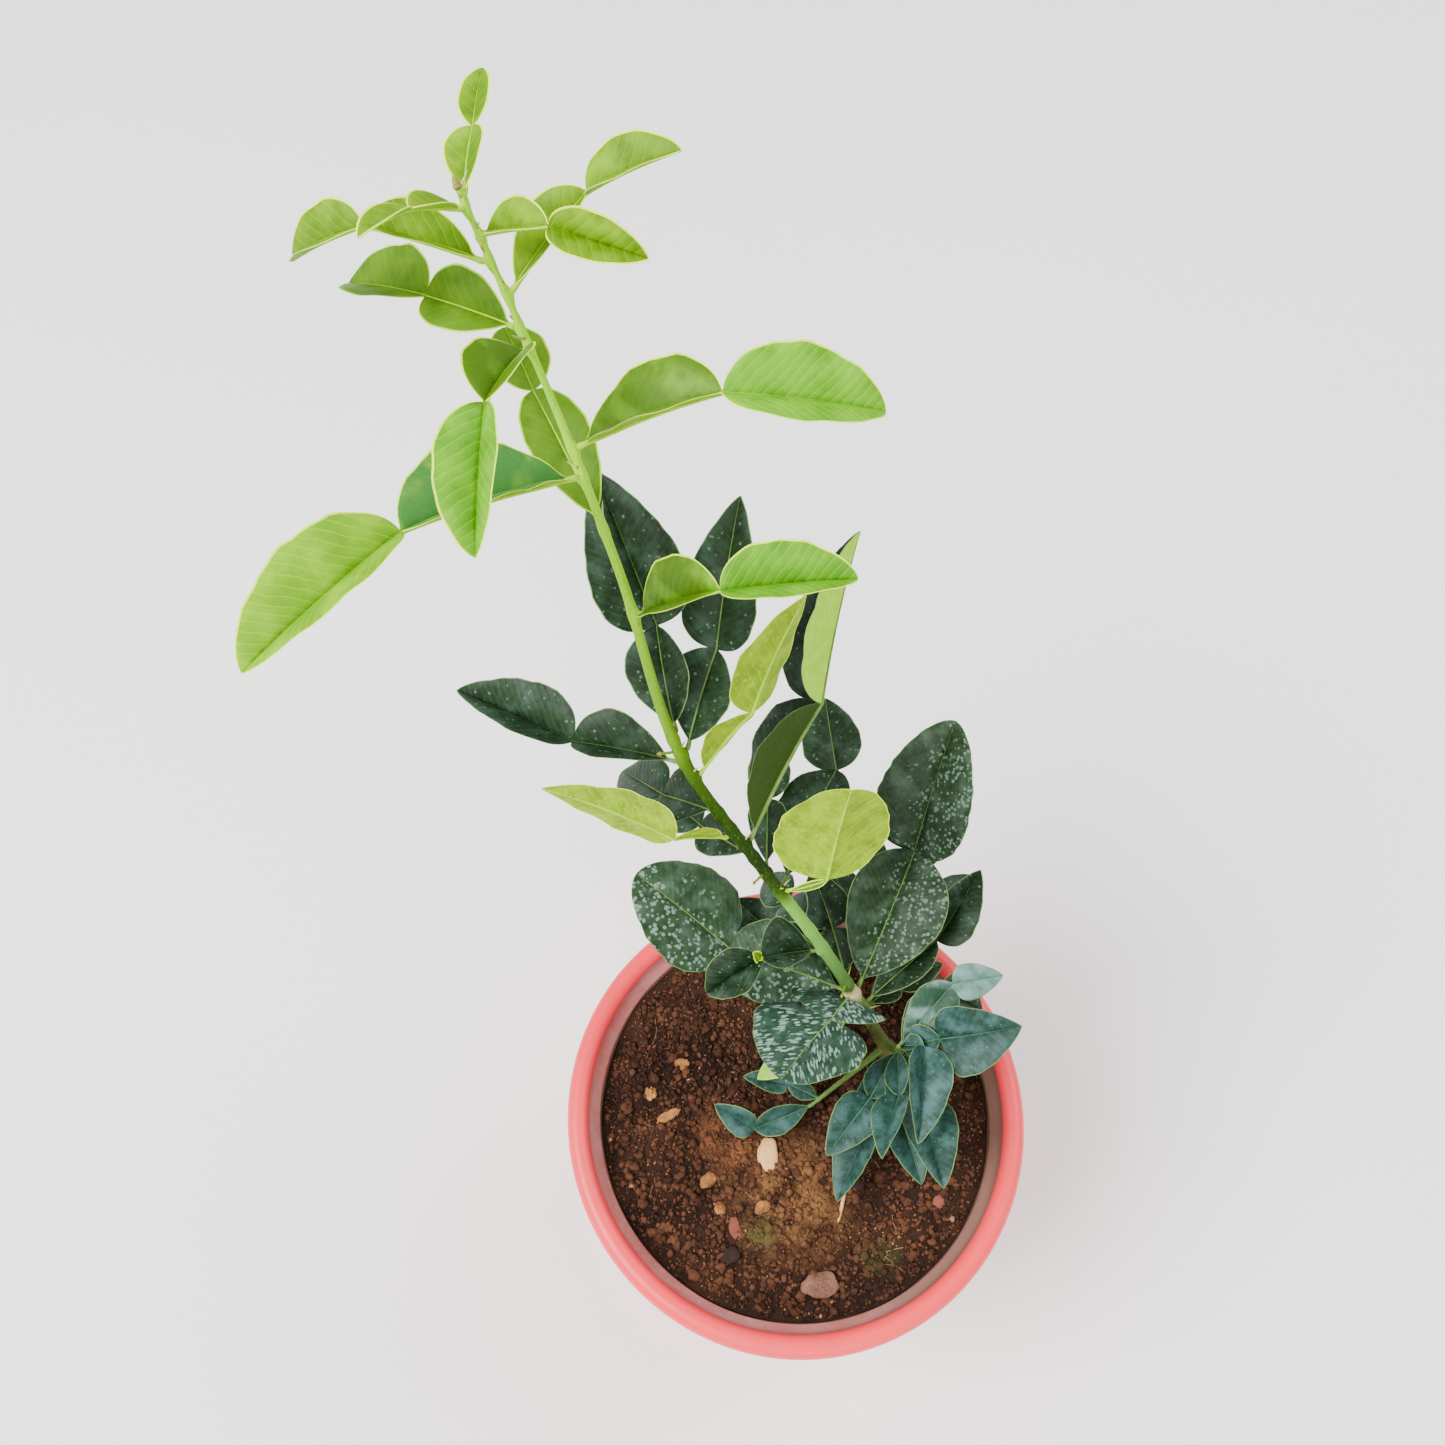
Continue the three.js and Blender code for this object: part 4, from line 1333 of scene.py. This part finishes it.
@dataclass
class Tree:
    """The whole plant: trunk and boughs, twigs, spurs and leaves by kind."""

    kinds: ClassVar[dict[str, tuple[str, tuple[Look, ...]]]] = {
        "leaves_young": ("young_leaf", YOUNG_LOOKS),
        "leaves_old": ("old_leaf", (OLD, SPECKLED, SPOTTED, STREAKED, FOLDED, FRESH)),
        "leaves_pale": ("pale_leaf", (PALE,)),
        "leaves_shoots": ("old_leaf", (OLD, TEAL, SHEEN_PAINTED)),
    }
    leaflets: ClassVar[dict[str, Leaf]] = {
        "leaf_left_small": leaf(0, (215, 35, 2, 1, 0), (150, 62, 6, 2.6, 0), (20, 20), YOUNG),
    }
    trunk: Trunk = field(default_factory=Trunk)
    twig_sides: int = 12
    twig_rings: int = 40
    twig_tint: float = 0.2
    knot: float = 0.3
    knot_reach: float = 1.6
    axil: float = 1.6
    shoot_seed: int = 100
    leaflet_seed: int = 200
    spur_seed: int = 21
    young_bud_share: float = 0.7
    end_bud_size: float = 0.8

    def __post_init__(self) -> None:
        """Starts a pile for each piece."""
        self.bark, self.twigs, self.buds, self.thorns = (Pile() for _ in range(4))
        self.leaves = {kind: Pile() for kind in self.kinds}

    def build(self) -> None:
        """Builds every piece."""
        self.trunk.build(self.bark)
        ends = [self.trunk.build_bough(self.bark, shoot) for shoot in SHOOTS.values()]
        for shoot, (start, end) in zip(SHOOTS.values(), ends):
            self._grow_twig(shoot, start, end)
        for seed, one in enumerate(TRUNK_LEAVES.values()):
            kind = next(kind for kind, (_, looks) in self.kinds.items() if one.look in looks)
            self._grow_leaf(kind, one, *self.trunk.leaf_seat(one), seed)
        for seed, (name, one) in enumerate(self.leaflets.items()):
            host = TRUNK_LEAVES[name]
            joint = self.trunk.path.at(host.at) + host.wing.reach
            self._grow_leaf("leaves_young", one, joint, joint + UP * 0.8, self.leaflet_seed + seed)
        self._grow_spurs()
        self._dress()

    def _grow_leaf(self, kind: str, one: Leaf, root: Array, seat: Array, seed: int) -> None:
        """Adds a leaf to the pile of its kind."""
        slot = DRESS_SIZE * self.kinds[kind][1].index(one.look)
        LeafMesh(one, root, seat, seed, slot).grow(self.leaves[kind])

    def _grow_twig(self, shoot: Shoot, start: Array, end: Array) -> None:
        """Adds a side shoot's twig, its end bud and its leaves.

        Args:
            shoot: The side shoot.
            start: Where the twig starts.
            end: Where it ends.
        """
        twig, shares = shoot.twig, np.linspace(0, 1, self.twig_rings)
        radii = twig.radius * (1 - 0.5 * shares)
        for one in shoot.leaves:
            radii = radii + self.knot * np.exp(-(((shares * twig.length - one.at) / self.knot_reach) ** 2))
        points = start + (end - start) * shares[:, None]
        self.twigs.tube(points, radii, self.twig_sides, tint=self.twig_tint)
        Sprout(end, unit(end - start), 0.3, self.end_bud_size).bud(self.buds)
        for seed, one in enumerate(shoot.leaves):
            root = start + (end - start) * one.at / twig.length
            self._grow_leaf("leaves_shoots", one, root, root, self.shoot_seed + seed)

    def _grow_spurs(self) -> None:
        """Adds a bud at each node of the stem, a thorn at some, and a few spur twigs."""
        rng = np.random.default_rng(self.spur_seed)
        path = self.trunk.path
        for count, one in enumerate(TRUNK_LEAVES.values()):
            root, surface = path.at(one.at + self.axil), self.trunk.radius_at(one.at)
            bearing, rise = one.wing.bearing, one.wing.rise
            size = float(rng.uniform(0.6, 1.0)) * (self.young_bud_share if one.look.is_young else 1.0)
            Sprout(root, heading(bearing + 12, min(70, rise + 38)), surface, size).bud(self.buds)
            if count % 3 != 1:
                aim = heading(bearing - 32, min(60, rise + 24))
                Sprout(root, aim, surface, float(rng.uniform(0.6, 1.1))).thorn(self.thorns)
            if count % 7 == 5 and not one.look.is_young:
                end = Sprout(root, heading(bearing + 150, 30), surface, size).spur(self.twigs)
                Sprout(end, unit(end - root), 0.2, self.end_bud_size).bud(self.buds)
        Sprout(path.at(path.length), path.along(path.length), 0.2, 1.3).bud(self.buds)

    def _dress(self) -> None:
        """Makes the pieces from their piles and gives them their finishes."""
        trunk = self.bark.to_piece("trunk_and_boughs", [StemFinish()], "bark")
        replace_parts(trunk, "trunk", *(f"bough_{name}" for name in SHOOTS))
        self.twigs.to_piece("twigs", [StemFinish()], "bark")
        self.buds.to_piece("buds", [PlainGreen("bud", (122, 96, 50), (146, 150, 66))], "bark")
        self.thorns.to_piece("thorns", [PlainGreen("thorn", (150, 172, 84), (182, 190, 118), 0.4)], "bark")
        for kind, (slot, looks) in self.kinds.items():
            finishes = [finish for look in looks for finish in DRESS[look]]
            piece = self.leaves[kind].to_piece(kind, finishes, slot)
            if kind == "leaves_shoots":
                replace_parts(piece, *(f"foliage_{name}" for name in SHOOTS))
            else:
                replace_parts(piece, *(name for name, one in TRUNK_LEAVES.items() if one.look in looks))


@dataclass
class Pot:
    """The round pot, with its rolled lip, wall rings and six drain holes."""

    height: float = 170.0
    rim_radius: float = 100.0
    lip_width: float = 9.5
    lip_band: float = 24.0
    body_top_radius: float = 94.0
    base_radius: float = 68.0
    wall: float = 3.0
    throat_radius: float = 86.5
    throat_drop: float = 12.0
    throat_curve: tuple[tuple[float, float], ...] = ((90.1, 162.6), (89.2, 160.6), (87.6, 158.9))
    ring_levels: tuple[float, ...] = (12, 118, 122)
    ring_depth: float = 0.35
    ring_width: float = 0.9
    sides: int = 160
    wall_steps: int = 60
    lip_steps: int = 28
    inner_steps: int = 24
    heel: float = 2.5
    drain_count: int = 6
    drain_radius: float = 5.5
    drain_circle: float = 42.0
    drain_sides: int = 32
    drill_from: float = -5.0
    drill_length: float = 14.0
    sharp_angle: float = 35.0
    outer: PlasticFinish = PlasticFinish("pot_plastic", (246, 58, 68), (238, 52, 64), (238, 124, 116), 0.08)
    # The inner wall: dusty, with shade painted on its +X side.
    inner: PlasticFinish = PlasticFinish(
        "pot_plastic_dusty_and_shaded", (208, 112, 110), (198, 104, 102), (206, 156, 152), 0.75, stain_from=0.1575,
        painted_shade=(136, 96, 84), roughness=0.6,
    )

    def inner_radius(self, height: float) -> float:
        """The inner wall's radius at a height."""
        share = (height - self.wall) / (self.height - self.throat_drop - self.wall)
        return self.base_radius - self.wall + (self.throat_radius - self.base_radius + self.wall) * share

    def outer_profile(self) -> Profile:
        """The underside's edge, the wall with its faint rings, and the band under the lip.

        Returns:
            Pairs of radius and height.
        """
        base, top, band = self.base_radius, self.body_top_radius, self.height - self.lip_band
        profile = [(base - 12, 0.0), (base - 2.2, 0.0), (base - 0.8, 0.5), (base, self.heel)]
        for step in range(1, self.wall_steps):
            share = step / self.wall_steps
            level = self.heel + (band - self.heel) * share
            rings = (math.exp(-(((level - ring) / self.ring_width) ** 2)) for ring in self.ring_levels)
            profile.append((base + (top - base) * share - self.ring_depth * sum(rings), level))
        profile += [(top, band - 0.3), (top + 0.4, band), (self.rim_radius - 1.6, band)]
        profile += [(self.rim_radius - 0.8, band + 0.6), (self.rim_radius - 0.7, band + 2.0)]
        return profile + [(self.rim_radius - 0.7 + 0.1 * step, band + 2 + 3.2 * step) for step in range(1, 5)]

    def lip_profile(self) -> Profile:
        """The rolled lip, from outside over the top to inside.

        Returns:
            Pairs of radius and height.
        """
        radius, steps = self.lip_width / 2, self.lip_steps
        turns = (math.pi * step / steps for step in range(steps + 1))
        centre, level = self.rim_radius - radius, self.height - radius
        return [(centre + radius * math.cos(a), level + radius * math.sin(a)) for a in turns]

    def inner_profile(self) -> Profile:
        """The throat, the inner wall and the floor's edge.

        Returns:
            Pairs of radius and height.
        """
        throat, steps = self.height - self.throat_drop, self.inner_steps
        levels = (throat + (self.wall - throat) * step / steps for step in range(1, steps))
        wall = [(self.inner_radius(level), level) for level in levels]
        foot = (self.inner_radius(self.wall) - 0.5, self.wall)
        return [*self.throat_curve, (self.throat_radius, throat), *wall, foot]

    def build(self) -> None:
        """Builds and dresses the pot."""
        outside, inside = self.outer_profile() + self.lip_profile(), self.inner_profile()
        points, faces = turned(outside + inside, self.sides)
        row = np.arange(len(faces)) // self.sides
        slots = np.where((row >= len(outside) - 3) & (row < len(outside) + len(inside) - 1), 1, 0)
        slots[-(self.sides // 2 - 1):] = 1
        pile = Pile()
        pile.add(points, faces, slots)
        piece = pile.to_piece("pot_shell", [self.outer, self.inner], "pot_plastic")
        self._drill(piece)
        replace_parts(piece, "pot")

    def _drill(self, piece: bpy.types.Object) -> None:
        """Cuts the drain holes and marks the sharp edges.

        Args:
            piece: The pot.
        """
        drills = Pile()
        for i in range(self.drain_count):
            angle = TURN * (i + 0.5) / self.drain_count
            x, y = self.drain_circle * math.cos(angle), self.drain_circle * math.sin(angle)
            foot = np.array([x, y, self.drill_from])
            ends = np.array([foot, foot + UP * self.drill_length])
            drills.tube(ends, np.full(2, self.drain_radius), self.drain_sides)
        drill = drills.to_piece("drill", [])
        cut = piece.modifiers.new("drain_holes", "BOOLEAN")
        cut.operation, cut.object, cut.solver = "DIFFERENCE", drill, "EXACT"
        bpy.context.view_layer.update()
        shaped = bpy.data.meshes.new_from_object(piece.evaluated_get(bpy.context.evaluated_depsgraph_get()))
        piece.modifiers.clear()
        piece.data = shaped
        shaped.set_sharp_from_angle(angle=math.radians(self.sharp_angle))
        bpy.data.objects.remove(drill)


@dataclass
class SoilSurface:
    """The height of the potting soil round the trunk's foot, with its hollows and lumps."""

    foot: tuple[float, float, float]
    reach: float
    level: float = 156.0
    dip: float = 2.4
    lumps: tuple[tuple[float, ...], ...] = (
        (31.0, 20, 0.4, 0.45), (28.0, 75, 1.9, 0.45), (34.0, 130, 4.0, 0.5), (26.0, 165, 2.6, 0.4),
    )
    seat_radius: float = 12.0
    sunk: float = 0.6
    calm_reach: tuple[float, float] = (3.5, 14.0)
    rim_calm: float = 0.6
    rim_width: float = 6.0
    wave_lengths: tuple[float, ...] = (12.5, 8.2, 5.6, 3.9, 2.8)
    wave_height: float = 0.03
    wave_seed: int = 5

    def __post_init__(self) -> None:
        """Draws the small waves."""
        rng = np.random.default_rng(self.wave_seed)
        self.waves = [
            (length, rng.uniform(0, 360), rng.uniform(0, TURN), self.wave_height * length**0.75)
            for length in self.wave_lengths for _ in range(3)
        ]

    @staticmethod
    def _ripple(waves: Any, x: Array, y: Array) -> Array:
        """The sum of waves.

        Args:
            waves: Each wave's length, bearing, shift and height.
            x: The x of the places, in millimetres.
            y: Their y.

        Returns:
            The sum at each place.
        """
        total = np.zeros_like(x)
        for length, bearing, shift, height in waves:
            along = x * math.cos(math.radians(bearing)) + y * math.sin(math.radians(bearing))
            total += height * np.sin(TURN * along / length + shift)
        return total

    def heights(self, x: Array, y: Array) -> Array:
        """The surface's height at many places.

        Args:
            x: Their x in millimetres.
            y: Their y in millimetres.

        Returns:
            The heights.
        """
        wave = np.sin(x / 11 + 1.3) * np.cos(y / 13) + np.sin((x + y) / 19)
        away = np.hypot(x - self.foot[0], y - self.foot[1])
        hollow = self.dip / 4 * (wave + 2) - self._ripple(self.lumps, x, y)
        hollow = hollow * smooth_step(away / self.seat_radius, 1, 3)
        rim = 1 - self.rim_calm * smooth_step(np.hypot(x, y), self.reach - self.rim_width, self.reach)
        relief = (self._ripple(self.waves, x, y) - self.sunk) * smooth_step(away, *self.calm_reach) * rim
        return self.level - hollow + relief


@dataclass
class Lump:
    """A round body that many irregular grains are made from, divided in a number of steps."""

    steps: int
    dent_sizes: tuple[float, ...] = (0.09, 0.09, 0.06, 0.06, 0.03, 0.03, 0.03)
    dent_width: float = 0.16
    proud: float = 0.5

    def __post_init__(self) -> None:
        """Reads the vertices and faces of a sphere of triangles."""
        ball = bmesh.new()
        bmesh.ops.create_icosphere(ball, subdivisions=self.steps, radius=1.0)
        self.points = np.array([vertex.co[:] for vertex in ball.verts])
        self.faces = np.array([[vertex.index for vertex in face.verts] for face in ball.faces])
        ball.free()

    def scatter(self, pile: Pile, places: Array, sizes: Array, kind: "Grains", seed: int) -> None:
        """Adds many grains, each turned, stretched and roughened in its own way.

        Args:
            pile: Where they go.
            places: Their centres.
            sizes: Their radii.
            kind: How flat and rough they are.
            seed: The seed of their shapes.
        """
        rng = np.random.default_rng(seed)
        count = len(places)
        stretch = rng.uniform(kind.flatness, 1.1, (count, 1, 3)) * sizes[:, None, None]
        bumps = 1 + rng.normal(0, kind.rough, (count, len(self.points), 1))
        turns, _ = np.linalg.qr(rng.normal(size=(count, 3, 3)))
        turns *= np.sign(np.linalg.det(turns))[:, None, None]
        bodies = (self.points * bumps * stretch) @ turns + places[:, None]
        shift = (np.arange(count) * len(self.points))[:, None, None]
        pile.add(bodies.reshape(-1, 3), (self.faces + shift).reshape(-1, 3))

    def lay(self, pile: Pile, mark: "Mark", level: float, seed: int) -> None:
        """Adds one larger body with soft dents.

        Args:
            pile: Where it goes.
            mark: Its place, half sizes and turn.
            level: The soil's height there.
            seed: The seed of its shape.
        """
        rng = np.random.default_rng(seed)
        dents = np.zeros(len(self.points))
        for size in self.dent_sizes:
            way = rng.normal(size=3) / size * self.dent_width
            dents += size * np.sin(self.points @ way + rng.uniform(0, TURN))
        body = self.points * (1 + dents)[:, None] * np.array(mark.halves)
        centre = np.array([mark.x, mark.y, level + self.proud * mark.halves[2]])
        along, across = heading(mark.turn, 0), heading(mark.turn + 90, 0)
        pile.add(centre + body[:, :1] * along + body[:, 1:2] * across + body[:, 2:] * UP, self.faces)


@dataclass(frozen=True)
class Mark:
    """One clod, stone or chip that shows on the soil: its place, half sizes and turn."""

    x: float
    y: float
    halves: tuple[float, float, float]
    turn: float


@dataclass(frozen=True)
class Grains:
    """One kind of grain on the soil: how many, how large, and how it looks."""

    name: str
    finish: EarthFinish
    count: int
    least: float
    most: float
    flatness: float
    rough: float
    steps: int = 1
    sunk: float = 0.2


@dataclass
class Soil:
    """The body of soil in the pot and the grains that lie on it."""

    pot: Pot
    foot: tuple[float, float, float]
    gap: float = 0.35
    sides: int = 200
    rings: int = 110
    clear_radius: float = 7.0
    centre_share: float = 0.0004
    size_spread: tuple[float, float] = (1.2, 3.5)
    clearance: float = 1.5
    fibre_count: int = 70
    fibre_margin: float = 9.0
    fibre_lift: float = 0.35
    fibre_points: int = 9
    fibre_sides: int = 6
    fibre_seed: int = 90
    grain_seed: int = 40
    mark_steps: int = 4
    patches = (
        (-0.002, -0.036, 0.036, (132, 92, 56)), (-0.03, -0.012, 0.02, (120, 76, 48)),
        (-0.0155, -0.05, 0.011, (70, 72, 36)), (0.035, -0.0595, 0.013, (52, 54, 28)),
    )
    earth: EarthFinish = EarthFinish("soil", (26, 16, 12), (56, 35, 25), patches)
    fibre: EarthFinish = EarthFinish("fibre", (80, 54, 36), (136, 104, 74))
    kinds: tuple[Grains, ...] = (
        Grains("crumbs_dark", EarthFinish("crumb_dark", (36, 23, 18), (66, 43, 32), patches),
               5200, 0.5, 1.5, 0.6, 0.16),
        Grains("crumbs_red", EarthFinish("crumb_red", (72, 43, 30), (118, 75, 51)),
               3400, 0.4, 1.25, 0.55, 0.16),
        Grains("grains_tan", EarthFinish("grain_tan", (116, 80, 50), (164, 118, 76)),
               620, 0.3, 0.95, 0.6, 0.12),
        Grains("chips", EarthFinish("chip", (44, 28, 22), (92, 61, 42)), 420, 1.0, 2.6, 0.3, 0.12, 2),
        Grains("pebbles", EarthFinish("pebble", (118, 82, 64), (164, 120, 96), scale=2.5),
               26, 0.8, 1.8, 0.55, 0.08, 2),
        Grains("clods", EarthFinish("clod", (30, 19, 14), (98, 62, 43), patches, 1.6),
               2200, 1.0, 3.2, 0.55, 0.16, 2, 0.5),
    )
    marks: tuple[tuple[EarthFinish, tuple[Mark, ...]], ...] = (
        (EarthFinish("clod_tan", (96, 58, 32), (192, 132, 76), scale=2.4), (
            Mark(-38.3, -29, (4.2, 3.0, 1.7), 40), Mark(-33.1, -40.6, (3.0, 2.4, 1.5), 110),
            Mark(-14.9, -40.2, (3.6, 2.6, 1.5), 20), Mark(-64.6, 8.3, (3.0, 2.4, 1.4), 80),
            Mark(-50, 21.2, (3.4, 2.4, 1.4), 0), Mark(1.1, -25.7, (2.4, 2.0, 1.3), 0),
            Mark(-56.3, -1.4, (6.0, 1.9, 1.0), 28),
        )),
        (EarthFinish("clod_red", (110, 58, 48), (142, 84, 68)), (
            Mark(-26.6, -48.7, (2.6, 5.0, 1.2), 12), Mark(62, -38, (3.4, 2.6, 1.4), 50),
        )),
        (EarthFinish("clod_black", (36, 27, 24), (56, 43, 38)), (
            Mark(-28.8, -59.5, (4.4, 3.4, 1.5), 20), Mark(25.8, -31.1, (4.0, 2.8, 1.4), 0),
        )),
        (EarthFinish("stone", (92, 62, 50), (150, 106, 92), scale=1.8, roughness=0.8), (
            Mark(9.1, -71.2, (8.0, 5.4, 1.9), 8),
        )),
        (EarthFinish("husk", (210, 152, 88), (236, 186, 124), roughness=0.8), (
            Mark(-12, -18.5, (4.6, 7.6, 2.3), 0), Mark(19.7, -39.3, (0.8, 7.2, 0.7), -16),
        )),
    )

    def __post_init__(self) -> None:
        """Works out the surface."""
        self.surface = SoilSurface(self.foot, self.pot.inner_radius(SoilSurface.level) - self.gap)

    def build(self) -> None:
        """Builds and dresses the soil."""
        level, floor = SoilSurface.level, self.pot.wall + self.gap
        radii = self.surface.reach * np.sqrt(np.linspace(1, self.centre_share, self.rings))
        profile = [(self.pot.inner_radius(floor) - self.gap, floor), *((float(r), level) for r in radii)]
        points, faces = turned(profile, self.sides)
        top = points[:, 2] > level - 1
        points[top, 2] = self.surface.heights(points[top, 0], points[top, 1])
        pile = Pile()
        pile.add(points, faces)
        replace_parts(pile.to_piece("soil_body", [self.earth], "soil"), "soil")
        for seed, kind in enumerate(self.kinds):
            self._scatter(kind, self.grain_seed + seed)
        for finish, marks in self.marks:
            pile = Pile()
            for seed, mark in enumerate(marks):
                height = self.surface.heights(np.array([float(mark.x)]), np.array([float(mark.y)]))
                Lump(self.mark_steps).lay(pile, mark, float(height[0]), seed)
            pile.to_piece(f"soil_{finish.name}", [finish], "soil")
        self._lay_fibres()

    def _places(self, rng: np.random.Generator, count: int, margin: float) -> Array:
        """Random places on the surface, off the trunk's foot.

        Args:
            rng: The source of chance.
            count: How many to draw.
            margin: How far inside the wall they stay.

        Returns:
            The places that are clear of the foot.
        """
        radius = (self.surface.reach - margin) * np.sqrt(rng.uniform(0, 1, count))
        angle = rng.uniform(0, TURN, count)
        x, y = radius * np.cos(angle), radius * np.sin(angle)
        clear = np.hypot(x - self.foot[0], y - self.foot[1]) > self.clear_radius
        return np.stack([x, y, self.surface.heights(x, y)], axis=1)[clear]

    def _scatter(self, kind: Grains, seed: int) -> None:
        """Strews one kind of grain.

        Args:
            kind: The kind.
            seed: The seed of the places.
        """
        rng = np.random.default_rng(seed)
        places = self._places(rng, kind.count, kind.least)
        sizes = kind.least + (kind.most - kind.least) * rng.beta(*self.size_spread, len(places))
        inside = np.hypot(places[:, 0], places[:, 1]) + self.clearance * sizes < self.surface.reach
        places, sizes = places[inside], sizes[inside]
        places[:, 2] += sizes * (0.5 - kind.sunk)
        pile = Pile()
        Lump(kind.steps).scatter(pile, places, sizes, kind, seed)
        pile.to_piece(f"soil_{kind.name}", [kind.finish], "soil", kind.steps > 1)

    def _lay_fibres(self) -> None:
        """Lays bits of root and straw on the soil."""
        rng = np.random.default_rng(self.fibre_seed)
        pile = Pile()
        for x, y, _ in self._places(rng, self.fibre_count, self.fibre_margin):
            length, turn, bend = rng.uniform(3, 11), rng.uniform(0, math.pi), rng.uniform(-0.5, 0.5)
            along = np.linspace(-0.5, 0.5, self.fibre_points) * length
            xs = x + along * math.cos(turn) - bend * along**2 / 8 * math.sin(turn)
            ys = y + along * math.sin(turn) + bend * along**2 / 8 * math.cos(turn)
            inside = np.hypot(xs, ys) < self.surface.reach - 1
            if not inside.all() or np.hypot(xs - self.foot[0], ys - self.foot[1]).min() < self.clear_radius:
                continue
            points = np.stack([xs, ys, self.surface.heights(xs, ys) + self.fibre_lift], axis=1)
            pile.tube(points, np.full(self.fibre_points, rng.uniform(0.1, 0.26)), self.fibre_sides)
        pile.to_piece("soil_fibres", [self.fibre], "soil")


@dataclass(frozen=True)
class Lamp:
    """A large soft light: where it is, its size in metres and its power in watts."""

    name: str
    place: tuple[float, float, float]
    size: float
    power: float


@dataclass
class Studio:
    """The plain floor, the soft lights and the camera at the photo's angle."""

    lamps: tuple[Lamp, ...] = (
        Lamp("key", (-1.5, -0.5, 2.4), 1.6, 150.0),
        Lamp("fill", (1.6, 0.9, 2.0), 1.8, 50.0),
        Lamp("front", (0.2, -2.2, 1.5), 1.6, 32.0),
    )
    lit: tuple[float, float, float] = (0.0, 0.0, 0.25)
    sky: tuple[float, float, float, float] = (1.0, 0.99, 0.98, 1.0)
    sky_strength: float = 0.75
    eye: tuple[float, float, float] = (-0.032, -0.115, 0.7506)
    tilt: float = 27.6
    focal: float = 1300 / 1445
    sensor: float = 36.0
    floor_radius: float = 6.0
    floor_level: float = -0.0004
    floor_sides: int = 64

    def build(self) -> None:
        """Sets up the floor, lights, world and camera."""
        self._lay_floor()
        for lamp in self.lamps:
            self._hang(lamp)
        world = bpy.data.worlds.new("studio")
        world.use_nodes = True
        background = world.node_tree.nodes["Background"]
        background.inputs["Color"].default_value = self.sky
        background.inputs["Strength"].default_value = self.sky_strength
        bpy.context.scene.world = world
        data = bpy.data.cameras.new("photo_camera")
        data.sensor_width = self.sensor
        data.sensor_fit = "HORIZONTAL"
        data.lens = self.sensor * self.focal
        data.clip_start = 0.01
        camera = placed("photo_camera", data)
        camera.location = self.eye
        camera.rotation_euler = (math.radians(self.tilt), 0.0, 0.0)
        bpy.context.scene.camera = camera

    def _lay_floor(self) -> None:
        """Adds a pale floor, far wider than the plant."""
        s = Shader("studio_floor")
        tone = s.step(s.noise(s.object_place(), 0.6, 2.0), 0.2, 0.8)
        skin = s.mix(tone, (248, 248, 247), (252, 252, 251))
        radius, level = self.floor_radius, self.floor_level
        edge = [(radius * math.cos(a), radius * math.sin(a), level) for a in around(self.floor_sides)]
        mesh = bpy.data.meshes.new("floor")
        mesh.from_pydata(edge, [], [range(len(edge))])
        mesh.materials.append(s.finish(Base_Color=skin, Roughness=0.9))
        placed("floor", mesh)

    def _hang(self, lamp: Lamp) -> None:
        """Adds a lamp that faces the plant.

        Args:
            lamp: The lamp.
        """
        data = bpy.data.lights.new(lamp.name, "AREA")
        data.shape, data.size, data.energy = "DISK", lamp.size, lamp.power
        light = placed(lamp.name, data)
        light.location = lamp.place
        aim = Vector(self.lit) - light.location
        light.rotation_euler = aim.to_track_quat("-Z", "Y").to_euler()


def main() -> None:
    """Builds the plant, its pot and the studio."""
    logging.basicConfig(level=logging.INFO, format="%(message)s")
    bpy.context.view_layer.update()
    pot = Pot()
    pot.build()
    tree = Tree()
    Soil(pot, tree.trunk.foot).build()
    tree.build()
    Studio().build()


if __name__ == "__main__":
    main()
